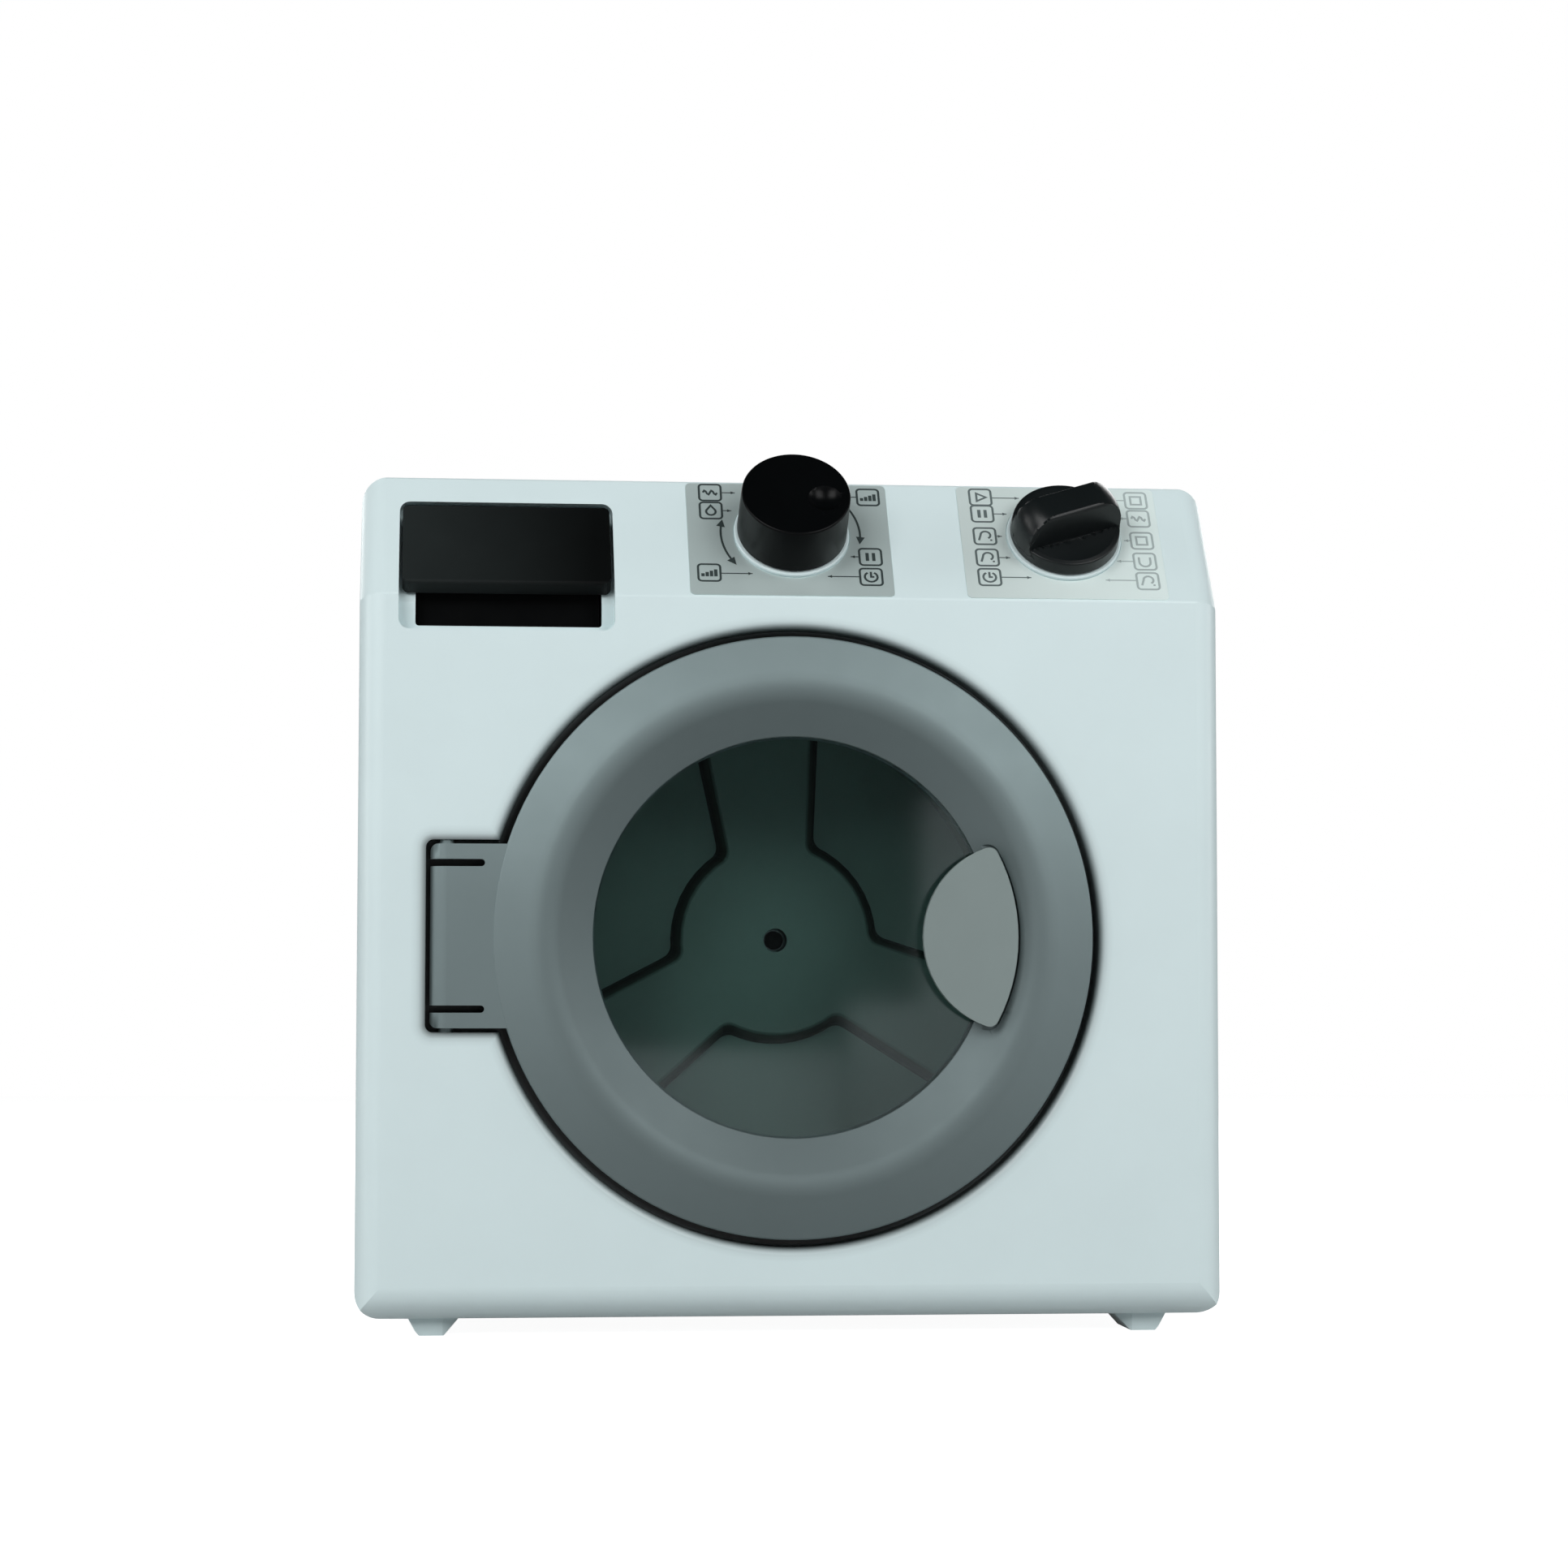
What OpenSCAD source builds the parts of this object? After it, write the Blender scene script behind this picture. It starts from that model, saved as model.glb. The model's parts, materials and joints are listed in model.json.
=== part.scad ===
// Toy washing machine: a two-part cabinet with a slanted control panel, a glazed
// front door, a geared tumbling drum, two turning knobs and a pull-out drawer.
// X runs to the right, Y from the front face to the back, Z up from the floor.

/* [Cabinet] */
// Width of the cabinet
body_w = 240; // [232:1:260]
// Depth of the cabinet
body_d = 145; // [142:1:170]
// Height from the floor to the roof
body_h = 239; // [225:1:260]
// Height of the feet under the cabinet
foot_h = 4.8; // [4:0.2:7]
// Thickness of the moulded walls
wall = 2.5; // [2.2:0.1:2.8]
// Distance from the front face to the joint between the two halves
split_y = 94; // [92:1:98]
// Height of the slanted control panel
panel_rise = 35.5; // [34:0.5:40]
// Lean of the control panel away from upright
panel_tilt = 35; // [33:0.5:37]
// Rounding of the upright edges
edge_r = 7; // [5:0.5:9]
// Rounding of the lower front edge
sill_r = 9; // [6:0.5:10]
// Rounding of the corners seen from the front
corner_r = 7.6; // [6:0.2:9]
// Rounding between the front face and the panel
bend_r = 1.2; // [1:0.1:6]
// Rounding of the roof's front edge
roof_r = 1.2; // [1:0.1:5]

/* [Door] */
// Gap between the door ring and the foot of the panel
door_top_margin = 11; // [9.5:0.1:14]
// Height of the door ring's lowest point above the floor
door_bottom_margin = 26.3; // [25:0.1:30]
// Gap round the door ring
door_gap = 2.2; // [1.8:0.1:2.6]
// Depth of the seat behind the door
seat_y = 8.5; // [8.2:0.1:10]
// Rounding of the door opening's edge
opening_edge_r = 2.4; // [1.5:0.1:3]
// Width of the ring from its outer edge to the window
ring_w = 27.6; // [26:0.1:29]
// Thickness of the window
window_t = 1.8; // [1.6:0.1:2]
// How far the ring's outer edge stands out of the front face
ring_edge_out = 2; // [1.6:0.1:2.4]
// How far the ring's crest stands out of the front face
crest_out = 5.2; // [4.8:0.1:5.6]
// Distance from the ring's outer edge in to its crest
crest_in = 15.1; // [14:0.1:16]
// Height of the hinge tab
tab_h = 50.4; // [46:0.2:54]
// Distance from the ring's outer edge out to the hinge pins
hinge_reach = 12.5; // [11.5:0.1:13]
// Radius of the hinge knuckle
knuckle_r = 4.5; // [4:0.1:4.6]
// Radius of the stub pins
pin_r = 2; // [1.6:0.1:2.2]
// Width of the slots that free the snap-in fingers
finger_slot = 2; // [1.4:0.1:2.4]
// Thickness of the snap-in fingers
finger_t = 4.2; // [3.6:0.1:5]
// Thickness of the grip plate
grip_t = 2.4; // [2:0.1:2.8]
// Width of the grip plate at its middle
grip_w = 26.4; // [24:0.1:28]
// How far the grip plate laps over the ring
grip_lap = 6.2; // [5.4:0.1:6.6]
// Radius of the grip's inner edge
grip_in_r = 26; // [25:0.5:28]
// Radius of the grip's outer edge
grip_out_r = 50; // [46:1:54]
// Gap between the grip plate and its pocket
grip_gap = 1; // [0.8:0.1:1.2]

/* [Drum] */
// How much wider the drum is than the window, in radius
drum_over = 6.5; // [5.5:0.1:8]
// Distance from the front face to the drum's rim
drum_front_y = 19; // [18.5:0.5:21]
// Distance from the front face to the drum's hub face
hub_y = 56.7; // [54:0.1:58]
// Radius of the drum's hub
hub_r = 27; // [25:0.5:29]
// Height of the hub and its three arms above the drum's floor
star_h = 6; // [4:0.5:7]
// Half width of the arms where they leave the hub
arm_in = 10.8; // [9:0.1:13]
// Half width of the arms at the drum's side wall
arm_out = 15; // [13:0.1:18]
// How far the sides of the hub and arms run out down to the floor
star_flare = 3.3; // [2:0.1:4]
// Thickness of the drum's wall
drum_wall = 2; // [1.6:0.1:2.4]
// How much wider the door mouth is than the window, in radius
mouth_over = 2; // [1.6:0.1:2.4]
// Radial gap between the drum and the tub
tub_gap = 3.5; // [3:0.1:4]
// Radius of the drum shaft
shaft_r = 3; // [2.5:0.1:3.2]
// Gear tooth module
gear_module = 0.8; // [0.7:0.05:0.85]
// Teeth of the drum gear
drum_teeth = 80; // [76:1:82]
// Teeth of the idler's large gear
idler_teeth = 48; // [44:1:50]
// Teeth of the pinions
pinion_teeth = 12; // [12:1:14]
// Thickness of the drum gear
gear_t = 6; // [4:0.5:7]
// Free play between meshing gears, added to the centre distance
mesh_play = 0.12; // [0.1:0.01:0.2]

/* [Controls] */
// Radius of the knobs at their base
knob_r = 15.5; // [14:0.1:16]
// Height of the left knob
knob_left_h = 15.3; // [14:0.1:17]
// Height of the right knob's bar
knob_right_h = 14.3; // [12:0.1:16]
// Thickness of the right knob's disc
knob_disc_t = 4.1; // [3.6:0.1:5]
// Distance of the left knob from the middle of the cabinet
knob_left_x = 0.4; // [-4:0.1:4]
// Distance from the cabinet's right side to the right knob
knob_right_margin = 42.1; // [41:0.1:46]
// Height of the knobs' centres up the slanted panel
knob_s = 23.6; // [22:0.1:24]
// Radius of the knob spindles
spindle_r = 3; // [2.5:0.1:3.4]
// Width of the silver labels
label_w = 57; // [54:0.1:60]
// How far the silver labels sit to the left of their knobs
label_shift = 0.8; // [0:0.1:1.5]
// Thickness of the silver labels
label_t = 0.25; // [0.2:0.05:0.4]

/* [Drawer] */
// Width of the drawer's recess
drawer_w = 59.5; // [57:0.5:61]
// Distance from the cabinet's left side to the recess
drawer_margin = 10.7; // [10:0.1:12]
// Depth of the recess in the panel
drawer_sink = 6; // [5.6:0.1:6.6]
// Thickness of the drawer's front plate
drawer_plate_t = 5.2; // [4.6:0.1:5.4]
// Depth from the front face to the back of the tray
drawer_back_y = 72; // [66:1:78]
// How far the drawer pulls out
drawer_travel = 38; // [30:1:40]
// Thickness of the tray's walls
tray_wall = 1.8; // [1.5:0.1:2.2]

/* [Back] */
// Width of the battery bay
bay_w = 60; // [58:1:66]
// Height of the battery bay
bay_h = 47; // [45:1:50]
// Depth of the battery bay
bay_d = 17; // [16:0.5:19]
// Height of the battery bay's centre above the floor
bay_z = 62; // [58:1:70]
// Radius of the loudspeaker
speaker_r = 18; // [16:0.5:20]

/* [Hidden] */

// Colours
white = "#dde6e6";
grey = "#8a9494";
black = "#1d1f21";
drum_grey = "#5b6766";
silver = "#b9c2bf";
steel = "#b8bcc0";
brass = "#c8a24a";
cream = "#e6dfc8";

// Fits and small standard parts
running = 0.06;
screw_r = 1.1;
screw_hole_r = 1.6;
screw_head_r = 2.7;
screw_head_t = 1.6;
arc_steps = 8;

// Cabinet stations
half_w = body_w / 2;
bend_z = body_h - panel_rise;
panel_top_y = panel_rise * tan(panel_tilt);
panel_len = panel_rise / cos(panel_tilt);
back_r = 6;
post_r = 4;
post_x = half_w - 10;
post_low_z = foot_h + 15.5;
post_high_z = bend_z - 15.5;
post_top_z = body_h - 11;
post_top_y = 42;
tongue_in = 2.2;

// Door stations, distances from the door's centre and out of the front face
door_r = (bend_z - door_top_margin - door_bottom_margin) / 2;
door_z = door_bottom_margin + door_r;
window_r = door_r - ring_w;
crest_r = door_r - crest_in;
hinge_x = door_r + hinge_reach;
grip_out = window_r + grip_lap;
grip_in = grip_out - grip_w;
mouth_r = window_r + mouth_over;
opening_r = door_r + door_gap;
ring_back = seat_y - 2.3;
ring_t = 2.2;
cone_slope = (crest_out + 1.8) / (crest_r - window_r);
window_front = 2.8;
window_back = window_front + window_t;
hinge_y = knuckle_r - ring_edge_out;
tab_gap = 1.2;
pin_wall = 3;
pin_len = tab_gap + pin_wall - 0.6;
slot_z = tab_h / 2 - finger_t - finger_slot / 2;
door_post_r = door_r - 8.1;
grip_front = crest_out - 0.3;
grip_back = grip_front - grip_t;
grip_floor = -0.4;
grip_tip = 2.5;
hook_x = door_r - 8;
hook_w = 8;

// Drum and gear stations, distances behind the front face
drum_r = window_r + drum_over;
tub_r = drum_r + drum_wall + tub_gap;
floor_y = hub_y + star_h;
drum_back_y = floor_y + 2.5;
tub_back_y = drum_back_y + 4.8;
tub_wall = 2.5;
tub_front_y = seat_y + wall;
ear_y = tub_front_y + 10;
ear_t = 3;
ear_r = tub_r + 10.5;
tub_rib = 20;
gear_y = tub_back_y + tub_wall + 3;
idler_big_y = gear_y + gear_t + 1.2;
idler_big_t = 4;
plate_y = idler_big_y + idler_big_t + 2.5;
plate_t = 2.5;
drum_gear_r = gear_module * drum_teeth / 2;
idler_big_r = gear_module * idler_teeth / 2;
pinion_pitch_r = gear_module * pinion_teeth / 2;
idler_angle = 60;
motor_angle = 105;
idler_reach = drum_gear_r + pinion_pitch_r + mesh_play;
motor_reach = idler_big_r + pinion_pitch_r + mesh_play;
idler_at = idler_reach * [cos(idler_angle), sin(idler_angle)];
motor_at = idler_at + motor_reach * [cos(motor_angle), sin(motor_angle)];
axle_r = 1.5;
motor_shaft_r = 1;
motor_len = 25;
motor_r = 10;
motor_flat = 7.6;
gear_post_x = drum_gear_r + 7;
gear_post_z = -24;
gearbox_posts = [[-gear_post_x, gear_post_z], [gear_post_x, gear_post_z],
    motor_at + [-motor_r - 32.2, -5.3], idler_at + from_polar(idler_big_r + 9.5, 22.5)];
plate_margin = 7;
drum_rest_angle = 95;

// Panel stations, measured up the slope and out of the panel
knob_right_x = half_w - knob_right_margin;
knob_lift = 1.6;
knob_rim = 0.6;
knob_draft = 0.25;
boss_r = knob_r + 0.8;
boss_h = knob_lift - 0.4;
knob_bar_turn = 21;
bar_half = 4.6;
bar_end_r = 8;
switch_size = 18;
switch_t = 8;
label_s0 = tenths_up(bend_r * tan(panel_tilt / 2)) + 0.1;
label_s1 = panel_len - tenths_up(roof_r * tan(45 - panel_tilt / 2)) - 0.1;

// Drawer stations
drawer_x = -half_w + drawer_margin + drawer_w / 2;
drawer_z0 = bend_z - 9.8;
drawer_z1 = bend_z + 28;
plate_gap = 0.9;
plate_s0 = 4.4;
plate_s1 = (drawer_z1 - plate_gap - bend_z) / cos(panel_tilt);
throat_w = drawer_w - 8;
throat_x = drawer_x + 0.6;
throat_z0 = drawer_z0 + 1.4;
throat_z1 = drawer_z1 - 3.2;
tray_gap = 0.5;
tray_w = throat_w - 2 * tray_gap;
tray_z0 = throat_z0 + tray_gap;
tray_z1 = throat_z1 - tray_gap;
tray_front_y = 12;
housing_t = 1.8;
housing_back_y = drawer_back_y + 2;

// Back stations
bay_y = body_d - wall - bay_d;
cover_t = 2.5;
cover_lap = 3;
speaker_x = 58 - half_w;
speaker_z = body_h - 67.6;
board_x = half_w - 58;
board_z = body_h - 71.6;
board_w = 58;
board_h = 38;
board_y = body_d - wall - 9;

// The box is centred front to back on the foremost point, the left knob's rim
knob_out = knob_left_h + knob_lift - knob_rim;
knob_base_y = knob_s * sin(panel_tilt);
front_reach = knob_base_y - knob_out * cos(panel_tilt)
    - (knob_r - knob_draft - knob_rim) * sin(panel_tilt) - knob_rim;
origin_y = (front_reach + body_d) / 2;

// ---------------------------------------------------------------- outlines

function unit(v) = v / norm(v);
function tenths_up(v) = ceil(10 * v) / 10;
function from_polar(r, a) = r * [cos(a), sin(a)];

// Corners of a convex anticlockwise outline, moved inwards by d
function inset(p, d) = [for (k = [0:len(p) - 1])
    let (a = p[(k + len(p) - 1) % len(p)], b = p[k], c = p[(k + 1) % len(p)],
        u = unit(b - a), v = unit(c - b), nu = [-u.y, u.x], nv = [-v.y, v.x])
    b + d * (nu + nv) / (1 + nu * nv)];

// Arc of radius r that rounds the corner b between a and c
function corner_points(a, b, c, r, steps) = let (
        u = unit(a - b), v = unit(c - b), half = acos(u * v) / 2,
        centre = b + unit(u + v) * r / sin(half),
        start = b + u * r / tan(half) - centre,
        turn = sign(cross(b - a, c - b)) * (180 - 2 * half),
        a0 = atan2(start.y, start.x))
    [for (s = [0:steps]) centre + from_polar(r, a0 + turn * s / steps)];

// Outline with each corner k replaced by an arc of radius r[k]
function rounded(p, r, steps = arc_steps) = [for (k = [0:len(p) - 1])
    each corner_points(p[(k + len(p) - 1) % len(p)], p[k], p[(k + 1) % len(p)], r[k], steps)];

function box_points(x0, y0, x1, y1) = [[x0, y0], [x1, y0], [x1, y1], [x0, y1]];
function shrink(r, i) = [for (v = r) max(v - i, 0.4)];

// Tangent points, centre and turn of the arc that rounds corner k
function corner_arc(p, r, k) = let (a = p[(k + len(p) - 1) % len(p)], b = p[k], c = p[(k + 1) % len(p)],
        u = unit(a - b), v = unit(c - b), half = acos(u * v) / 2, t = r / tan(half))
    [b + u * t, b + v * t, b + unit(u + v) * r / sin(half), cross(b - a, c - b)];

// Outline p with corner k rounded by a true arc of radius r[k]
module soft(p, r) {
    arcs = [for (k = [0:len(p) - 1]) corner_arc(p, r[k], k)];
    difference() {
        union() {
            polygon([for (a = arcs) each [a[0], a[1]]]);
            for (k = [0:len(p) - 1]) if (arcs[k][3] > 0) translate(arcs[k][2]) circle(r[k], $fn = 64);
        }
        for (k = [0:len(p) - 1]) if (arcs[k][3] < 0) translate(arcs[k][2]) circle(r[k], $fn = 64);
    }
}

module rounded_box(x0, y0, x1, y1, r) {
    soft(box_points(x0, y0, x1, y1), [r, r, r, r]);
}

module ring_shape(outer, inner) {
    difference() {
        circle(outer, $fn = 96);
        circle(inner, $fn = 96);
    }
}

// ---------------------------------------------------------------- placing

module machine() {
    translate([0, -origin_y, 0]) children();
}

// Draws flat shapes as slabs: along X from (Y, Z), along Y from (X, Z)
module along_x(x0, x1) {
    translate([x0, 0, 0]) rotate([90, 0, 90]) linear_extrude(x1 - x0) children();
}

module along_y(y0, y1) {
    translate([0, y1, 0]) rotate([90, 0, 0]) linear_extrude(y1 - y0) children();
}

// Turns Z out of the front face, with the flat shape's Y up
module on_front(x, z) {
    translate([x, 0, z]) rotate([90, 0, 0]) children();
}

// A slab between two depths behind the front face, inside on_front
module slab(y0, y1) {
    translate([0, 0, -y1]) linear_extrude(y1 - y0) children();
}

// Turns Z out of the slanted panel, with Y up the slope
module on_panel(x, s) {
    translate([x, 0, bend_z]) rotate([90 - panel_tilt, 0, 0]) translate([0, s, 0]) children();
}

// Turns Z out of the back face
module on_back(x, z) {
    translate([x, body_d, z]) rotate([-90, 0, 0]) children();
}

module both_sides() {
    children();
    mirror([1, 0, 0]) children();
}

module keep_y(y0, y1) {
    intersection() {
        children();
        translate([-body_w, y0, -body_h]) cube([2 * body_w, y1 - y0, 3 * body_h]);
    }
}

// A pan-head screw: head above the origin, shank below, drive slot across
module screw(len) {
    difference() {
        cylinder(h = screw_head_t, r = screw_head_r, $fn = 32);
        for (a = [0, 90]) rotate(a)
            translate([-2, -0.4, screw_head_t - 0.7]) cube([4, 0.8, 1]);
    }
    translate([0, 0, -len]) cylinder(h = len, r = screw_r, $fn = 32);
}

// ---------------------------------------------------------------- cabinet

module side_outline(i) {
    soft(inset([[0, foot_h], [body_d, foot_h], [body_d, body_h], [panel_top_y, body_h], [0, bend_z]], i),
        shrink([sill_r, back_r, back_r, roof_r, bend_r], i));
}

module front_outline(i) {
    soft(inset(box_points(-half_w, foot_h, half_w, body_h), i),
        shrink([corner_r, corner_r, corner_r, corner_r], i));
}

module plan_outline(i) {
    soft(inset(box_points(-half_w, 0, half_w, body_d), i), shrink([edge_r, edge_r, back_r, back_r], i));
}

module panel_outline(i) {
    soft(inset(box_points(-half_w, -2 * body_d, half_w, 0), i), shrink([edge_r, edge_r, edge_r, edge_r], i));
}

// The cabinet's outer form, drawn inwards by i on every side
module cabinet_form(i) {
    intersection() {
        along_x(-half_w, half_w) side_outline(i);
        along_y(-1, body_d + 1) front_outline(i);
        linear_extrude(body_h + 1) plan_outline(i);
        on_panel(0, 2 * body_h) rotate([90, 0, 0])
            linear_extrude(4 * body_h) panel_outline(i);
    }
}

module hollow_form() {
    difference() {
        cabinet_form(0);
        cabinet_form(wall);
    }
}

// One foot: a blunt wedge with its inner side and inner front corner cut back
module foot(x, y0, y1, inner_front) {
    top = 6.9;
    intersection() {
        along_y(y0, y1) polygon([[x - top, foot_h + 1], [x - top, foot_h], [x - top + 2, 1.2],
            [x - top + 3, 0], [x + top - 4, 0], [x + top + 0.4, foot_h], [x + top + 0.4, foot_h + 1]]);
        linear_extrude(foot_h + 1) polygon([[x - top, y0], [x + 2.6, y0],
            [x + top + 0.4, y0 + inner_front], [x + top + 0.4, y1], [x - top, y1]]);
    }
}

module feet(y0, y1, inner_front) {
    both_sides() foot(-half_w + 21.5, y0, y1, inner_front);
}

// Posts that take the case screws, each with a rib to the nearest wall
module case_posts() {
    both_sides() {
        for (z = [post_low_z, post_high_z]) {
            along_y(wall - 0.5, split_y) translate([post_x, z]) circle(post_r, $fn = 32);
            translate([post_x, wall - 0.5, z - 0.8])
                cube([half_w - wall / 2 - post_x, split_y - tongue_in - wall, 1.6]);
        }
    }
    along_y(post_top_y, split_y) translate([0, post_top_z]) circle(post_r, $fn = 32);
    translate([-0.8, post_top_y, post_top_z]) cube([1.6, split_y - 4 - post_top_y, body_h - wall / 2 - post_top_z]);
}

module each_case_screw() {
    for (x = [-post_x, post_x], z = [post_low_z, post_high_z]) translate([x, 0, z]) children();
    translate([0, 0, post_top_z]) children();
}

// Round well behind the door, with its seat and the collar of the mouth
module door_well() {
    on_front(0, door_z) {
        slab(0.2, seat_y + wall) ring_shape(opening_r + wall, mouth_r);
        slab(seat_y, drum_front_y - 1.5) ring_shape(mouth_r + 2, mouth_r);
    }
}

module door_well_space() {
    on_front(0, door_z) {
        slab(-1, seat_y) circle(opening_r, $fn = 96);
        slab(-1, seat_y + wall + 0.1) circle(mouth_r, $fn = 96);
        rotate_extrude($fn = 96) polygon(concat([[opening_r - 1, 1],
            [opening_r + opening_edge_r, 1]],
            [for (s = [0:arc_steps]) [opening_r + opening_edge_r, -opening_edge_r]
                + from_polar(opening_edge_r, 90 + 90 * s / arc_steps)],
            [[opening_r - 1, -opening_edge_r]]));
    }
}

hinge_well_x = -hinge_x - knuckle_r - tab_gap;
hinge_well_z = tab_h / 2 + tab_gap;

module hinge_well() {
    on_front(0, door_z) slab(0.2, seat_y + wall)
        rounded_box(hinge_well_x - wall, -hinge_well_z - pin_wall, 6 - opening_r,
            hinge_well_z + pin_wall, 2);
}

module hinge_well_space() {
    on_front(0, door_z) slab(-1, seat_y)
        rounded_box(hinge_well_x, -hinge_well_z, 10 - opening_r, hinge_well_z, 2.2);
    for (side = [-1, 1]) translate([-hinge_x, hinge_y, door_z + side * (hinge_well_z + pin_wall / 2)])
        cylinder(h = pin_wall + 2, r = pin_r + running, center = true, $fn = 48);
}

// Recess of the drawer: a well that follows the panel and the front face
module drawer_well() {
    intersection() {
        along_y(-1, panel_top_y + 20) rounded_box(drawer_x - drawer_w / 2 - wall, drawer_z0 - wall,
            drawer_x + drawer_w / 2 + wall, drawer_z1 + wall, 4.5);
        difference() {
            cabinet_form(0.2);
            along_x(-half_w, half_w) side_outline(drawer_sink + 2);
        }
    }
}

module drawer_well_space() {
    difference() {
        along_y(-1, panel_top_y + 20) rounded_box(drawer_x - drawer_w / 2, drawer_z0,
            drawer_x + drawer_w / 2, drawer_z1, 3);
        along_x(-half_w, half_w) side_outline(drawer_sink);
    }
    along_y(-1, panel_top_y + 25) rounded_box(throat_x - throat_w / 2, throat_z0,
        throat_x + throat_w / 2, throat_z1, 1);
}

// Low round boss that a knob turns over
module knob_boss(x) {
    on_panel(x, knob_s) rotate_extrude($fn = 96)
        polygon(rounded(box_points(spindle_r, -1, boss_r, boss_h), [0.05, 0.05, 0.5, 0.05], 5));
}

module tub_post_places() {
    for (a = [45:90:315]) rotate(a) translate([ear_r, 0]) children();
}

module front_shell() color(white) machine() {
    difference() {
        union() {
            keep_y(-1, split_y) hollow_form();
            door_well();
            hinge_well();
            drawer_well();
            knob_boss(knob_left_x);
            knob_boss(knob_right_x);
            feet(sill_r + 1, sill_r + 21, 4);
            intersection() {
                case_posts();
                cabinet_form(wall / 2);
            }
            on_front(0, door_z) slab(seat_y + 1, ear_y) tub_post_places() circle(3.6, $fn = 32);
            catch_posts();
            drawer_bosses();
        }
        door_well_space();
        hinge_well_space();
        drawer_well_space();
        for (x = [knob_left_x, knob_right_x]) on_panel(x, knob_s)
            translate([0, 0, -wall - 1]) cylinder(h = wall + boss_h + 2, r = spindle_r + 0.6, $fn = 48);
        on_front(0, door_z) slab(ear_y - 8, ear_y + 1) tub_post_places() circle(screw_r, $fn = 32);
        each_case_screw() along_y(split_y - 14, split_y + 1) circle(screw_r, $fn = 32);
        latch_slot();
        catch_pilot_holes();
        drawer_pilot_holes();
    }
}

// ---------------------------------------------------------------- back half

cover_w = bay_w + 2 * cover_lap;
cover_h = bay_h + 2 * cover_lap + 8;
cover_z = bay_z + 4;

module case_wells(r, y0) {
    each_case_screw() along_y(y0, body_d) circle(r, $fn = 48);
}

module tongue() {
    difference() {
        union() {
            keep_y(split_y - tongue_in, split_y + 0.5) cabinet_form(wall + 0.15);
            keep_y(split_y, split_y + 3) cabinet_form(wall - 0.3);
        }
        cabinet_form(wall + 1.4);
    }
}

module speaker_slots() {
    for (k = [-3:3]) translate([k * 4.6, 0])
        rounded_box(-1, -sqrt(15.5 * 15.5 - pow(k * 4.6, 2)), 1, sqrt(15.5 * 15.5 - pow(k * 4.6, 2)), 0.95);
}

board_posts = [for (x = [-1, 1], z = [-1, 1]) [board_x + x * (board_w / 2 - 4), board_z + z * (board_h / 2 - 4)]];
clamp_posts = [for (s = [-1, 1]) [speaker_x, speaker_z + s * (speaker_r + 6)]];

module rear_shell() color(white) machine() {
    difference() {
        union() {
            keep_y(split_y, body_d + 1) hollow_form();
            tongue();
            feet(body_d - back_r - 21, body_d - back_r - 1, 0);
            intersection() {
                case_wells(5.2, split_y);
                cabinet_form(0);
            }
            along_y(bay_y - 2, body_d - 1) rounded_box(-bay_w / 2 - 2, bay_z - bay_h / 2 - 2,
                bay_w / 2 + 2, bay_z + bay_h / 2 + 2, 2);
            along_y(body_d - wall - 2, body_d - 1) rounded_box(-cover_w / 2 - 2, cover_z - cover_h / 2 - 2,
                cover_w / 2 + 2, cover_z + cover_h / 2 + 2, 2);
            along_y(body_d - 12, body_d - 1) translate([0, bay_z + bay_h / 2 + 6.5]) circle(4, $fn = 32);
            for (p = board_posts) along_y(board_y + 1.6, body_d - 1) translate(p) circle(3, $fn = 32);
            for (p = clamp_posts) along_y(body_d - wall - 5, body_d - 1) translate(p) circle(3, $fn = 32);
            along_y(body_d - wall - 2, body_d - 1) translate([speaker_x, speaker_z])
                ring_shape(speaker_r + 2, speaker_r + 0.4);
        }
        case_wells(3.4, split_y + 2.5);
        each_case_screw() along_y(split_y - 1, split_y + 3) circle(screw_hole_r, $fn = 32);
        along_y(bay_y, body_d + 1) rounded_box(-bay_w / 2, bay_z - bay_h / 2, bay_w / 2, bay_z + bay_h / 2, 1);
        along_y(body_d - cover_t - 0.2, body_d + 1) rounded_box(-cover_w / 2, cover_z - cover_h / 2,
            cover_w / 2, cover_z + cover_h / 2, 3);
        along_y(body_d - 11, body_d) translate([0, bay_z + bay_h / 2 + 6.5]) circle(screw_r, $fn = 32);
        along_y(body_d - wall - 1, body_d + 1) translate([speaker_x, speaker_z]) speaker_slots();
        for (p = board_posts) along_y(board_y, board_y + 8) translate(p) circle(screw_r, $fn = 32);
        for (p = clamp_posts) along_y(body_d - wall - 6, body_d - wall + 1) translate(p) circle(screw_r, $fn = 32);
    }
}

module case_screws() color(steel) machine() {
    each_case_screw() translate([0, split_y + 2.5, 0]) rotate([-90, 0, 0]) screw(12);
}

module battery_door() color(white) machine() {
    gap = 0.25;
    difference() {
        union() {
            along_y(body_d - cover_t, body_d) rounded_box(-cover_w / 2 + gap, cover_z - cover_h / 2 + gap,
                cover_w / 2 - gap, cover_z + cover_h / 2 - gap, 2.8);
            for (k = [-2:2]) along_y(body_d - cover_t - 3, body_d - cover_t + 0.1)
                translate([k * 11, bay_z]) square([1.4, bay_h - 6], center = true);
        }
        along_y(body_d - cover_t - 1, body_d + 1) translate([0, bay_z + bay_h / 2 + 6.5])
            circle(screw_hole_r, $fn = 32);
        along_y(body_d - 1.7, body_d + 1) translate([0, bay_z + bay_h / 2 + 6.5]) circle(screw_head_r + 0.4, $fn = 32);
    }
}

module battery_screw() color(steel) machine() {
    on_back(0, bay_z + bay_h / 2 + 6.5) translate([0, 0, -1.7]) screw(8);
}

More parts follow.
